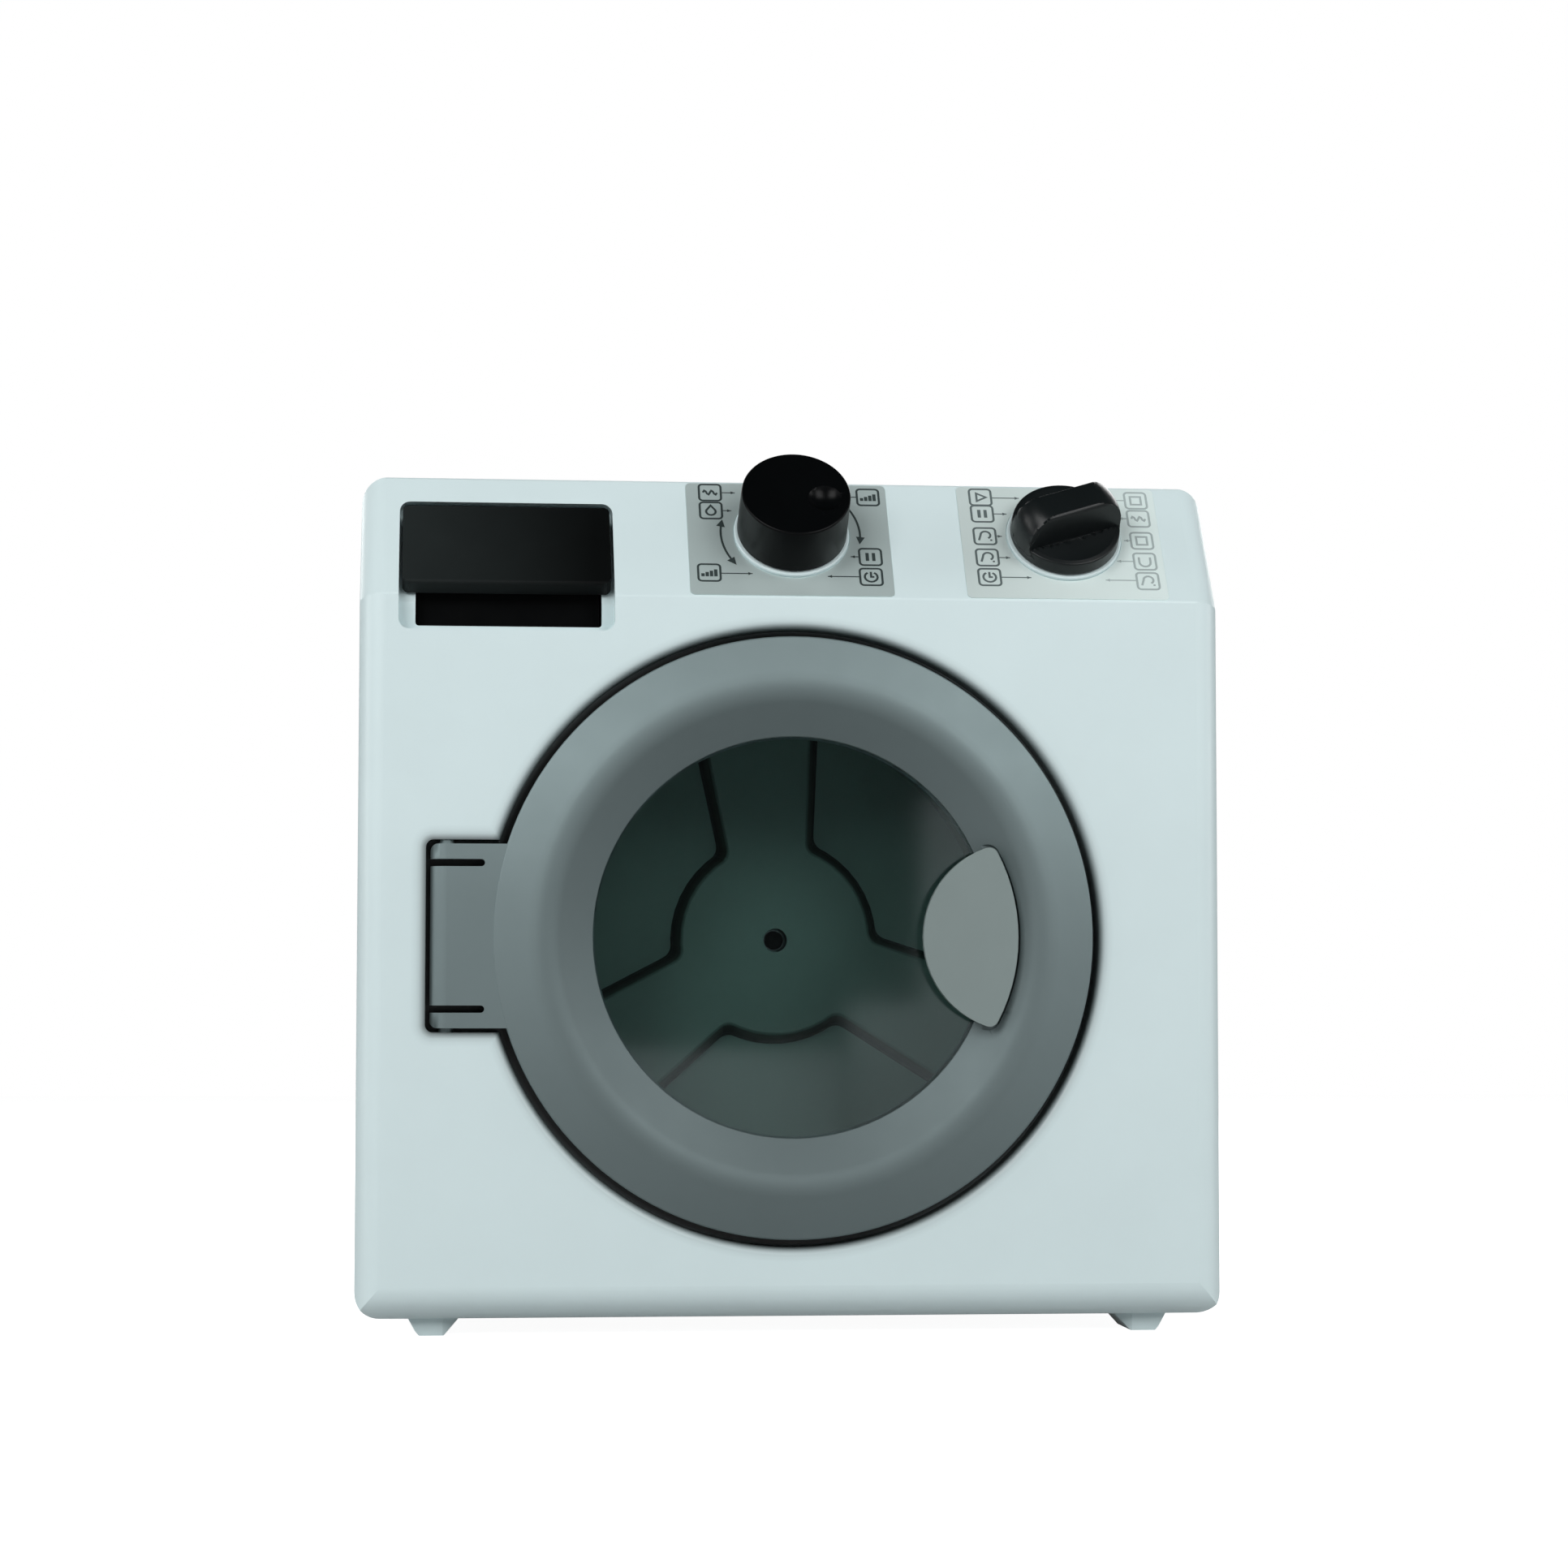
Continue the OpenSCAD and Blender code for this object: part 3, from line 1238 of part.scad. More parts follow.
module drawer_bosses() {
    for (p = drawer_boss_places) translate([p.x, p.y, housing_z1]) cylinder(h = body_h - wall / 2 - housing_z1, r = 3, $fn = 32);
}

module drawer_pilot_holes() {
    for (p = drawer_boss_places) translate([p.x, p.y, housing_z1 - 1]) cylinder(h = 7, r = screw_r, $fn = 32);
}

module drawer_screws() color(steel) machine() {
    for (p = drawer_boss_places) translate([p.x, p.y, housing_z1 - housing_t]) {
        cylinder(h = drawer_head_t, r = screw_head_r, $fn = 32);
        cylinder(h = 7, r = screw_r, $fn = 32);
    }
}

// ---------------------------------------------------------------- electrics

module circuit_board() color("#2f6b45") machine() {
    difference() {
        along_y(board_y, board_y + 1.6) rounded_at(board_x, board_z, board_w, board_h, 1.5);
        for (p = board_posts) along_y(board_y - 1, board_y + 3) translate(p) circle(screw_hole_r, $fn = 32);
    }
    along_y(board_y - 3, board_y) rounded_at(board_x - 8, board_z + 2, 14, 10, 0.5);
    along_y(board_y - 5, board_y) rounded_at(board_x + 14, board_z - 6, 12, 6, 0.5);
    for (k = [0:2]) along_y(board_y - 7, board_y) translate([board_x + 8 + 7 * k, board_z + 8]) circle(2.5, $fn = 32);
}

module board_screws() color(steel) machine() {
    for (p = board_posts) translate([p.x, board_y, p.y]) rotate([90, 0, 0]) screw(8);
}

module speaker() color(black) machine() on_back(speaker_x, speaker_z) translate([0, 0, -wall]) {
    rotate_extrude($fn = 64) polygon([[speaker_r - 3, 0], [speaker_r, 0], [speaker_r, -2], [speaker_r - 2, -2],
        [8, -8], [8, -11], [0, -11], [0, -5], [6, -4.4], [speaker_r - 4, -1]]);
}

module speaker_clamps() color(steel) machine() {
    for (p = clamp_posts) let (s = p.y > speaker_z ? 1 : -1) difference() {
        along_y(body_d - wall - 6, body_d - wall - 5) {
            translate(p) circle(3.4, $fn = 32);
            translate([p.x - 2.5, s > 0 ? p.y - 8 : p.y]) square([5, 8]);
        }
        along_y(body_d - wall - 7, body_d - wall - 4) translate(p) circle(screw_hole_r, $fn = 32);
    }
    for (p = clamp_posts) let (s = p.y > speaker_z ? 1 : -1) along_y(body_d - wall - 5.5, body_d - wall - 2)
        translate([p.x - 2.5, s > 0 ? p.y - 8 : p.y + 7]) square([5, 1]);
}

module speaker_screws() color(steel) machine() {
    for (p = clamp_posts) translate([p.x, body_d - wall - 6, p.y]) rotate([90, 0, 0]) screw(5);
}

// ---------------------------------------------------------------- output

front_shell();
rear_shell();
case_screws();
battery_door();
battery_screw();
battery_contacts();
tub();
tub_screws();
drum_bearing();
drum();
drum_star();
drum_shaft();
drum_screw();
drum_gear();
idler_gear();
idler_axle();
motor();
motor_shaft();
motor_pinion();
motor_screws();
gearbox_plate();
gearbox_screws();
door_ring();
door_backing();
door_window();
door_grip();
door_hook();
door_screws();
door_catch();
catch_screws();
knob_left();
knob_right();
spindle_left();
spindle_right();
switch_left();
switch_right();
label_left();
label_right();
drawer_front();
drawer_tray();
drawer_housing();
drawer_screws();
circuit_board();
board_screws();
speaker();
speaker_clamps();
speaker_screws();
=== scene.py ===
# %% [markdown]
# # A toy washing machine, dressed for its portrait
# The CAD frame brings every moulded piece in at its true place and size. This script looks after
# what the eye adds: the sheen of each plastic, the printed symbols, the clear window, the light.

# %% Start from the frame
import json
import math
import bpy
from mathutils import Matrix, Vector


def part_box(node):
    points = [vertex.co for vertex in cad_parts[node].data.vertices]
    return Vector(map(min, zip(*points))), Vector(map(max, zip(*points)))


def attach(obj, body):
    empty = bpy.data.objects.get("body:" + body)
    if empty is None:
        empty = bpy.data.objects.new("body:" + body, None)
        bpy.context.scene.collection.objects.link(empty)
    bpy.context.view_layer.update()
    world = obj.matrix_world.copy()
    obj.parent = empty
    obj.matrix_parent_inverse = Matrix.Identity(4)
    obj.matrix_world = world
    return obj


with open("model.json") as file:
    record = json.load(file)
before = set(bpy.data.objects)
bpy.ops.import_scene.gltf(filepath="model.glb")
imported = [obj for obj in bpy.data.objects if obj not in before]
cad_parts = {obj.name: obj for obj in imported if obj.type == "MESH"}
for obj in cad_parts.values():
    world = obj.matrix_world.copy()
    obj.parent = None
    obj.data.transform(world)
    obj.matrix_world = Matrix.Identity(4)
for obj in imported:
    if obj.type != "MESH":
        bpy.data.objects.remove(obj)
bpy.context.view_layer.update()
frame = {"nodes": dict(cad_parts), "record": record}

# %% [markdown]
# ## Where the machine's own frame lies
# The pieces are easier to place from the cabinet's front face and floor than from the middle of
# its box. Two helpers turn millimetres behind the front face, and up the slanted panel, into
# metres in the shared frame.

# %% Stations on the machine
MM = 0.001
BACK_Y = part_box("rear_shell")[1].y
DEPTH = 145.0
DOOR_Z = 109.4
BEND_Z = 203.5
TILT = math.radians(35)
PANEL_UP = Vector((0, math.sin(TILT), math.cos(TILT)))
PANEL_OUT = Vector((0, -math.cos(TILT), math.sin(TILT)))


def at(x, y, z):
    """A point y mm behind the front face, x mm right of the middle, z mm above the floor."""
    return Vector((x * MM, BACK_Y + (y - DEPTH) * MM, z * MM))


def on_panel(x, s, n=0.0):
    """A point s mm up the slanted panel and n mm out of it."""
    return at(x, 0, BEND_Z) + (PANEL_UP * s + PANEL_OUT * n) * MM


print("front face at y =", round(at(0, 0, 0).y, 5))
print("middle of the panel:", [round(v, 4) for v in on_panel(0, 22)])

# %% [markdown]
# ## Smooth moulded surfaces
# The steel mould that a toy cabinet comes from is polished, so its curves run without a facet and
# only its edges are crisp. The CAD faces arrive separately, so on the pieces listed below their
# borders are welded and shaded by the angle between them, and the door's grip and the right knob
# get the fine rounding that every moulding has.

# %% Weld, soften and shade the pieces whose arcs are drawn in short steps
EDGE_MM = {"door_ring": 0.0, "door_grip": 0.5, "drum_star": 0.0, "knob_left": 0.0,
           "knob_right": 0.5, "drawer_front": 0.0}
SHARP_ANGLE = {"drum_star": 50.0, "knob_left": 18.0, "knob_right": 50.0}


def soften(obj, radius_mm, angle):
    """Weld the faces, round the sharp edges a little and shade the rest as one skin."""
    weld = obj.modifiers.new("weld", "WELD")
    weld.merge_threshold = 2e-6
    if radius_mm > 0:
        bevel = obj.modifiers.new("edge", "BEVEL")
        bevel.width = radius_mm * MM
        bevel.segments = 3
        bevel.limit_method = "ANGLE"
        bevel.angle_limit = math.radians(angle)
    with bpy.context.temp_override(object=obj, active_object=obj, selected_objects=[obj],
                                   selected_editable_objects=[obj]):
        bpy.ops.object.shade_auto_smooth(angle=math.radians(angle))
    flats = obj.modifiers.new("flats stay flat", "WEIGHTED_NORMAL")
    flats.keep_sharp = True
    flats.weight = 50


for name, radius_mm in EDGE_MM.items():
    soften(frame["nodes"][name], radius_mm, SHARP_ANGLE.get(name, 30.0))
print("softened", len(EDGE_MM), "pieces")

# %% [markdown]
# ## Plastics
# Injection-moulded ABS is coloured through. Up close it shows a very fine grain from the mould, a
# faint change of tone where the melt cooled at different speeds, and a roughness that wanders a
# little with handling.

# %% A moulded plastic, from its colour, gloss and grain
CLOUD_MM, SMEAR_MM = 28, 9
GRAIN_DEPTH_MM = 0.05
PLASTIC_IOR = 1.5


def tint(colour, k):
    return tuple(min(1.0, max(0.0, c * k)) for c in colour[:3]) + (1.0,)


def moulded(name, colour, rough, grain_mm=0.35, grain=0.02, mottle=0.03, metal=0.0, spread=0.05):
    """Principled plastic whose tone, gloss and surface all vary at the scale of the real thing."""
    mat = bpy.data.materials.new(name)
    mat.use_nodes = True
    nt = mat.node_tree
    n, link = nt.nodes, nt.links.new
    bsdf = n["Principled BSDF"]
    where = n.new("ShaderNodeTexCoord")
    cloud = n.new("ShaderNodeTexNoise")
    cloud.inputs["Scale"].default_value = 1 / (CLOUD_MM * MM)
    cloud.inputs["Detail"].default_value = 5
    link(where.outputs["Object"], cloud.inputs["Vector"])
    tone = n.new("ShaderNodeValToRGB")
    tone.color_ramp.elements[0].position = 0.3
    tone.color_ramp.elements[1].position = 0.7
    tone.color_ramp.elements[0].color = tint(colour, 1 - mottle)
    tone.color_ramp.elements[1].color = tint(colour, 1 + mottle)
    link(cloud.outputs["Fac"], tone.inputs["Fac"])
    link(tone.outputs["Color"], bsdf.inputs["Base Color"])
    gloss = n.new("ShaderNodeMapRange")
    gloss.inputs["To Min"].default_value = max(0.02, rough - spread)
    gloss.inputs["To Max"].default_value = rough + spread
    smear = n.new("ShaderNodeTexNoise")
    smear.inputs["Scale"].default_value = 1 / (SMEAR_MM * MM)
    smear.inputs["Detail"].default_value = 3
    link(where.outputs["Object"], smear.inputs["Vector"])
    link(smear.outputs["Fac"], gloss.inputs["Value"])
    link(gloss.outputs["Result"], bsdf.inputs["Roughness"])
    fine = n.new("ShaderNodeTexNoise")
    fine.inputs["Scale"].default_value = 1 / (grain_mm * MM)
    fine.inputs["Detail"].default_value = 2
    link(where.outputs["Object"], fine.inputs["Vector"])
    bump = n.new("ShaderNodeBump")
    bump.inputs["Distance"].default_value = GRAIN_DEPTH_MM * MM
    bump.inputs["Strength"].default_value = grain
    link(fine.outputs["Fac"], bump.inputs["Height"])
    link(bump.outputs["Normal"], bsdf.inputs["Normal"])
    bsdf.inputs["IOR"].default_value = PLASTIC_IOR
    bsdf.inputs["Metallic"].default_value = metal
    return mat


# %% The plastics of the machine
WHITE = (0.646, 0.765, 0.779)
DRUM = (0.16, 0.235, 0.215)
DOOR = (0.178, 0.228, 0.233)
FINISH = {
    "body_white": moulded("body_white", WHITE, 0.38, mottle=0.012, grain=0.05),
    "door_grey": moulded("door_grey", DOOR, 0.56, mottle=0.02, grain=0.08, metal=0.6),
    "grip_grey": moulded("grip_grey", (0.22, 0.27, 0.265), 0.42, mottle=0.02, grain=0.06,
                         metal=0.2),
    "drum_grey": moulded("drum_grey", DRUM, 0.45, mottle=0.05, grain=0.1),
    "black_plastic": moulded("black_plastic", (0.0012, 0.0016, 0.0018), 0.3, mottle=0.1,
                             grain=0.08),
    "label_silver": moulded("label_silver", (0.58, 0.69, 0.68), 0.36, mottle=0.02, grain=0.1,
                            metal=0.46),
    "switch_grey": moulded("switch_grey", (0.12, 0.14, 0.15), 0.5),
    "gear_cream": moulded("gear_cream", (0.72, 0.68, 0.55), 0.4),
    "board_green": moulded("board_green", (0.02, 0.12, 0.05), 0.35),
    "speaker_black": moulded("speaker_black", (0.02, 0.02, 0.02), 0.7),
}
SATIN_BLACK = 0.1


def dull(mat, level):
    """Turn down the mirror-like part of a plastic."""
    mat.node_tree.nodes["Principled BSDF"].inputs["Specular IOR Level"].default_value = level


dull(FINISH["black_plastic"], SATIN_BLACK)
print("plastics:", len(FINISH))

# %% [markdown]
# ## Metals
# Screws, spindles and the motor can are plain rolled steel; the bush and the motor's pinion are
# brass. Both carry the fine turned lines of the lathe or the press.

# %% A turned metal
LATHE_LINE_MM = 0.6


def turned_metal(name, colour, rough):
    mat = bpy.data.materials.new(name)
    mat.use_nodes = True
    nt = mat.node_tree
    n, link = nt.nodes, nt.links.new
    bsdf = n["Principled BSDF"]
    bsdf.inputs["Metallic"].default_value = 1.0
    where = n.new("ShaderNodeTexCoord")
    lines = n.new("ShaderNodeTexNoise")
    lines.inputs["Scale"].default_value = 1 / (LATHE_LINE_MM * MM)
    link(where.outputs["Object"], lines.inputs["Vector"])
    tone = n.new("ShaderNodeValToRGB")
    tone.color_ramp.elements[0].color = tint(colour, 0.85)
    tone.color_ramp.elements[1].color = tint(colour, 1.1)
    link(lines.outputs["Fac"], tone.inputs["Fac"])
    link(tone.outputs["Color"], bsdf.inputs["Base Color"])
    gloss = n.new("ShaderNodeMapRange")
    gloss.inputs["To Min"].default_value = rough - 0.08
    gloss.inputs["To Max"].default_value = rough + 0.1
    link(lines.outputs["Fac"], gloss.inputs["Value"])
    link(gloss.outputs["Result"], bsdf.inputs["Roughness"])
    return mat


FINISH["steel"] = turned_metal("steel", (0.45, 0.46, 0.48), 0.35)
FINISH["brass"] = turned_metal("brass", (0.70, 0.50, 0.20), 0.3)

# %% [markdown]
# ## The window
# The window is a thin sheet of clear plastic: mostly it lets the dark drum through, and at a slant
# it mirrors the room.

# %% Clear plastic for the window
WIPE_MM = 25
HAZE = (0.03, 0.09)
SMOKE = (0.80, 0.88, 0.87, 1)
WINDOW_IOR = 1.49


def clear_plastic(name):
    mat = bpy.data.materials.new(name)
    mat.use_nodes = True
    nt = mat.node_tree
    n, link = nt.nodes, nt.links.new
    n.remove(n["Principled BSDF"])
    out = n["Material Output"]
    through = n.new("ShaderNodeBsdfTransparent")
    through.inputs["Color"].default_value = SMOKE
    sheen = n.new("ShaderNodeBsdfGlossy")
    where = n.new("ShaderNodeTexCoord")
    wipe = n.new("ShaderNodeTexNoise")
    wipe.inputs["Scale"].default_value = 1 / (WIPE_MM * MM)
    wipe.inputs["Detail"].default_value = 4
    link(where.outputs["Object"], wipe.inputs["Vector"])
    haze = n.new("ShaderNodeMapRange")
    haze.inputs["To Min"].default_value, haze.inputs["To Max"].default_value = HAZE
    link(wipe.outputs["Fac"], haze.inputs["Value"])
    link(haze.outputs["Result"], sheen.inputs["Roughness"])
    edge = n.new("ShaderNodeFresnel")
    edge.inputs["IOR"].default_value = WINDOW_IOR
    mix = n.new("ShaderNodeMixShader")
    link(edge.outputs["Fac"], mix.inputs["Fac"])
    link(through.outputs["BSDF"], mix.inputs[1])
    link(sheen.outputs["BSDF"], mix.inputs[2])
    link(mix.outputs["Shader"], out.inputs["Surface"])
    return mat


FINISH["window_clear"] = clear_plastic("window_clear")


# %% [markdown]
# ## Where the light does not reach
# The gap round the door and round its hinge tab is painted near-black as shade, the darkest line
# on the machine, and this painted shade fades out over the rounded lip. Painted shadow darkens the
# sloping walls of the star in the drum, and on the door the cone is painted darker than its rim. A
# mask worked out from each point's own place paints them all, and it moves with its piece.

# %% Sums made of nodes


def calc(nt, kind, a, b=None):
    """One Math node; a and b are sockets or plain numbers."""
    node = nt.nodes.new("ShaderNodeMath")
    node.operation = kind
    for socket, value in zip(node.inputs, (a, b)):
        if value is None:
            continue
        if isinstance(value, (int, float)):
            socket.default_value = value
        else:
            nt.links.new(value, socket)
    return node.outputs["Value"]


def place_mm(nt):
    """Sockets for x, y and z in mm: y behind the front face, z above the floor."""
    coord = nt.nodes.new("ShaderNodeTexCoord")
    split = nt.nodes.new("ShaderNodeSeparateXYZ")
    nt.links.new(coord.outputs["Object"], split.inputs["Vector"])
    x, y, z = (calc(nt, "DIVIDE", split.outputs[axis], MM) for axis in "XYZ")
    return x, calc(nt, "ADD", y, DEPTH - BACK_Y / MM), z


def root_sum(nt, a, b):
    """The length of the two legs a and b together."""
    squares = calc(nt, "ADD", calc(nt, "MULTIPLY", a, a), calc(nt, "MULTIPLY", b, b))
    return calc(nt, "SQRT", squares)


def ramp(nt, value, low, high, stops):
    """Grey levels at the given values between low and high."""
    scaled = nt.nodes.new("ShaderNodeMapRange")
    scaled.inputs["From Min"].default_value = low
    scaled.inputs["From Max"].default_value = high
    nt.links.new(value, scaled.inputs["Value"])
    band = nt.nodes.new("ShaderNodeValToRGB")
    points = band.color_ramp.elements
    while len(points) < len(stops):
        points.new(0.5)
    for point, (at_value, level) in zip(points, sorted(stops)):
        point.position = (at_value - low) / (high - low)
        point.color = (level, level, level, 1)
    nt.links.new(scaled.outputs["Result"], band.inputs["Fac"])
    return band.outputs["Color"]


def shade(mat, level):
    """Multiply the material's colour by a grey level."""
    nt = mat.node_tree
    colour = nt.nodes["Principled BSDF"].inputs["Base Color"]
    source = colour.links[0].from_socket
    mix = nt.nodes.new("ShaderNodeMix")
    mix.data_type = "RGBA"
    mix.blend_type = "MULTIPLY"
    mix.inputs["Factor"].default_value = 1.0
    nt.links.new(source, mix.inputs[6])
    nt.links.new(level, mix.inputs[7])
    nt.links.new(mix.outputs[2], colour)


# %% Painted shade in the gap round the door and its hinge tab, fading out over the rounded lip
OPENING_R = 85.3
GAP_SHADE_IN = 80.0
HINGE_BOX = (-101.3, -80.0, 26.4)
HINGE_CORNER = 2.2
LIP_FADE = [(-1.3, 0.01), (-0.3, 0.10), (0.7, 0.45), (1.7, 0.80), (2.7, 0.93), (4.0, 1.0)]
front = moulded("cabinet_front", WHITE, 0.38, mottle=0.012, grain=0.05)
nt = front.node_tree
x, y, z = place_mm(nt)
up = calc(nt, "SUBTRACT", z, DOOR_Z)
radius = root_sum(nt, x, up)
from_round = calc(nt, "SUBTRACT", radius, OPENING_R)
box_left, box_right, box_half = HINGE_BOX
from_middle = calc(nt, "ABSOLUTE", calc(nt, "SUBTRACT", x, (box_left + box_right) / 2))
across = calc(nt, "SUBTRACT", from_middle, (box_right - box_left) / 2)
above = calc(nt, "SUBTRACT", calc(nt, "ABSOLUTE", up), box_half)
out_x = calc(nt, "MAXIMUM", calc(nt, "ADD", across, HINGE_CORNER), 0)
out_z = calc(nt, "MAXIMUM", calc(nt, "ADD", above, HINGE_CORNER), 0)
from_box = calc(nt, "SUBTRACT", root_sum(nt, out_x, out_z), HINGE_CORNER)
from_opening = calc(nt, "MINIMUM", from_round, from_box)
gap_shade = ramp(nt, from_opening, -2, 5, LIP_FADE)
WELL_FADE = [(GAP_SHADE_IN - 0.5, 1.0), (GAP_SHADE_IN + 0.5, 0.0)]
inside = ramp(nt, radius, GAP_SHADE_IN - 2, GAP_SHADE_IN + 2, WELL_FADE)
both = nt.nodes.new("ShaderNodeMix")
both.data_type = "RGBA"
both.blend_type = "LIGHTEN"
both.inputs["Factor"].default_value = 1.0
nt.links.new(gap_shade, both.inputs[6])
nt.links.new(inside, both.inputs[7])
shade(front, both.outputs[2])
print("lining ends", LIP_FADE[-1][0], "mm outside the door's opening")

# %% The shadowed walls of the star in the drum
HUB_Y, FLOOR_Y = 56.7, 62.7
WALL_TONES = [(HUB_Y + 0.2, 1.0), (HUB_Y + 1.2, 0.25),
              (FLOOR_Y - 2.2, 0.04), (FLOOR_Y - 0.5, 0.12)]
star = moulded("drum_star_grey", DRUM, 0.45, mottle=0.05, grain=0.1)
x, y, z = place_mm(star.node_tree)
shade(star, ramp(star.node_tree, y, HUB_Y - 1, FLOOR_Y + 1, WALL_TONES))
print("star's walls in shadow from", HUB_Y, "to", FLOOR_Y, "mm behind the front")

# %% The door's ring: painted light on the flat rim, brightest near the top and darker at the bottom, round a cone painted in shade
RIM_IN, CONE_SHADE = 69.5, 0.72
RIM_LIGHT = [(-80, 0.74), (-20, 0.93), (10, 1.0), (50, 1.2), (80, 1.05)]
ring = moulded("door_ring_grey", DOOR, 0.56, mottle=0.02, grain=0.08, metal=0.6)
nt = ring.node_tree
x, y, z = place_mm(nt)
up = calc(nt, "SUBTRACT", z, DOOR_Z)
radius = root_sum(nt, x, up)
rim = ramp(nt, up, -90, 90, RIM_LIGHT)
cone = nt.nodes.new("ShaderNodeMix")
cone.data_type = "RGBA"
to_rim = ramp(nt, radius, 55, 85, [(RIM_IN - 5, 0.0), (RIM_IN + 4, 1.0)])
nt.links.new(to_rim, cone.inputs["Factor"])
cone.inputs[6].default_value = (CONE_SHADE, CONE_SHADE, CONE_SHADE, 1)
nt.links.new(rim, cone.inputs[7])
shade(ring, cone.outputs[2])
print("rim begins", RIM_IN, "mm from the door's middle")

# %% Painted light: the right sticker is painted brighter towards its outer side, for the light it catches there
bright = moulded("label_bright", (0.78, 0.90, 0.88), 0.36, mottle=0.02, grain=0.1, metal=0.2)
x, y, z = place_mm(bright.node_tree)
shade(bright, ramp(bright.node_tree, x, 45, 110, [(50, 0.82), (105, 1.05)]))

# %% The drawer's plate is a satin black, with painted light that greys it a little towards its outer end
plate = moulded("drawer_satin", (0.016, 0.020, 0.020), 0.35, mottle=0.1, grain=0.08)
dull(plate, SATIN_BLACK)
x, y, z = place_mm(plate.node_tree)
shade(plate, ramp(plate.node_tree, x, -112, -48, [(-108, 1.0), (-55, 0.15)]))

# %% The right knob is a little more satin than the left one
SATIN_KNOB = 0.28
knob_satin = moulded("knob_satin", (0.004, 0.006, 0.0065), 0.33, mottle=0.1, grain=0.1)
dull(knob_satin, SATIN_KNOB)

# %% Every node gets its finish
# The drum's screw takes the black plastic as painted shade, for the shade deep in its hole.
OWN_FINISH = {"front_shell": front, "drum_star": star, "drum_screw": FINISH["black_plastic"],
              "door_ring": ring, "label_right": bright, "drawer_front": plate,
              "knob_right": knob_satin}
for part in frame["record"]["subparts"]:
    obj = frame["nodes"][part["node"]]
    obj.data.materials.clear()
    obj.data.materials.append(OWN_FINISH.get(part["node"], FINISH[part["material_slot"]]))
print("finishes:", len(FINISH) + len(OWN_FINISH) - 1)

# %% [markdown]
# ## Printed symbols
# Each silver sticker carries rows of small symbols, with a thin line from each one to its place on
# the knob's travel. On the real sticker they are screen-printed. Here every line is a flat ribbon
# of ink, built point by point along its path, so it stays crisp at any size.

# %% Ribbons and fills of ink, drawn in panel millimetres


def ribbon(path, width, closed=False):
    """A strip of even width along a path, with mitred corners: its points and its faces."""
    count = len(path)
    verts = []
    for k, here in enumerate(path):
        before = path[k - 1] if k or closed else None
        after = path[(k + 1) % count] if k < count - 1 or closed else None
        sides = [(Vector(b) - Vector(a)).normalized() for a, b in ((before, here), (here, after))
                 if a is not None and b is not None]
        normals = [Vector((-d.y, d.x)) for d in sides]
        mid = sum(normals, Vector((0, 0))).normalized()
        reach = width / 2 / max(0.5, mid.dot(normals[0]))
        verts += [Vector(here) + mid * reach, Vector(here) - mid * reach]
    spans = count if closed else count - 1
    ends = [(2 * k, 2 * ((k + 1) % count)) for k in range(spans)]
    faces = [(a, a + 1, b + 1, b) for a, b in ends]
    return verts, faces


def arc(cx, cy, r, start, end, steps=14):
    turns = [math.radians(start + (end - start) * k / steps) for k in range(steps + 1)]
    return [(cx + r * math.cos(t), cy + r * math.sin(t)) for t in turns]


def filled(corners):
    return [Vector(c) for c in corners], [tuple(range(len(corners)))]


def block(cx, cy, w, h):
    return filled([(cx - w / 2, cy - h / 2), (cx + w / 2, cy - h / 2),
                   (cx + w / 2, cy + h / 2), (cx - w / 2, cy + h / 2)])


def head(tip, aim, length=1.2):
    """A small filled arrowhead with its tip at tip, pointing along aim."""
    tip, aim = Vector(tip), Vector(aim).normalized()
    side = Vector((-aim.y, aim.x)) * length * 0.45
    return filled([tip, tip - aim * length + side, tip - aim * length - side])


# %% The symbols, each about 6 mm square
LINE = 0.62


def frame_box(cx, cy, half=3.1, r=1.0):
    path = []
    for k, (sx, sy) in enumerate(((1, 1), (-1, 1), (-1, -1), (1, -1))):
        path += arc(cx + sx * (half - r), cy + sy * (half - r), r, 90 * k, 90 * k + 90, 4)
    return ribbon(path, LINE, closed=True)


def wave(cx, cy):
    return [ribbon([(cx - 2 + 0.4 * k, cy + 0.8 * math.sin(1.25 * k)) for k in range(11)], LINE)]


def drop(cx, cy):
    return [ribbon([(cx, cy + 1.9)] + arc(cx, cy - 0.4, 1.35, 155, 385, 10), LINE, closed=True)]


def bars(cx, cy):
    heights = [1.1 + 0.5 * k for k in range(4)]
    return [block(cx - 1.8 + 1.2 * k, cy - 1.4 + h / 2, 0.95, h) for k, h in enumerate(heights)]


def pause(cx, cy):
    return [block(cx + dx, cy, 0.95, 3.0) for dx in (-0.9, 0.9)]


def play(cx, cy):
    corners = [(cx - 1.1, cy - 1.5), (cx + 1.6, cy), (cx - 1.1, cy + 1.5)]
    return [ribbon(corners, LINE, closed=True)]


def clock(cx, cy):
    return [ribbon(arc(cx, cy, 1.8, 120, 420), LINE),
            ribbon([(cx, cy + 1.9), (cx, cy), (cx + 0.9, cy)], LINE)]


def hook(cx, cy):
    return [ribbon([(cx - 1.8, cy - 1.6)] + arc(cx + 0.2, cy + 0.4, 1.4, 180, -60, 10), LINE),
            block(cx + 1.7, cy - 1.5, 0.6, 0.6)]


def tub(cx, cy):
    bowl = arc(cx, cy - 0.3, 1.6, 180, 360, 8)
    return [ribbon([(cx - 1.6, cy + 1.6)] + bowl + [(cx + 1.6, cy + 1.6)], LINE)]


def square(cx, cy):
    corners = ((-1.5, -1.5), (1.5, -1.5), (1.5, 1.5), (-1.5, 1.5))
    return [ribbon([(cx + dx, cy + dy) for dx, dy in corners], LINE, closed=True)]


# %% Where each symbol sits: across and up from the knob's own column
LEFT_KNOB_X, KNOB_S = 0.4, 23.6
THIN = 0.36
BIG_HEAD = 2.8


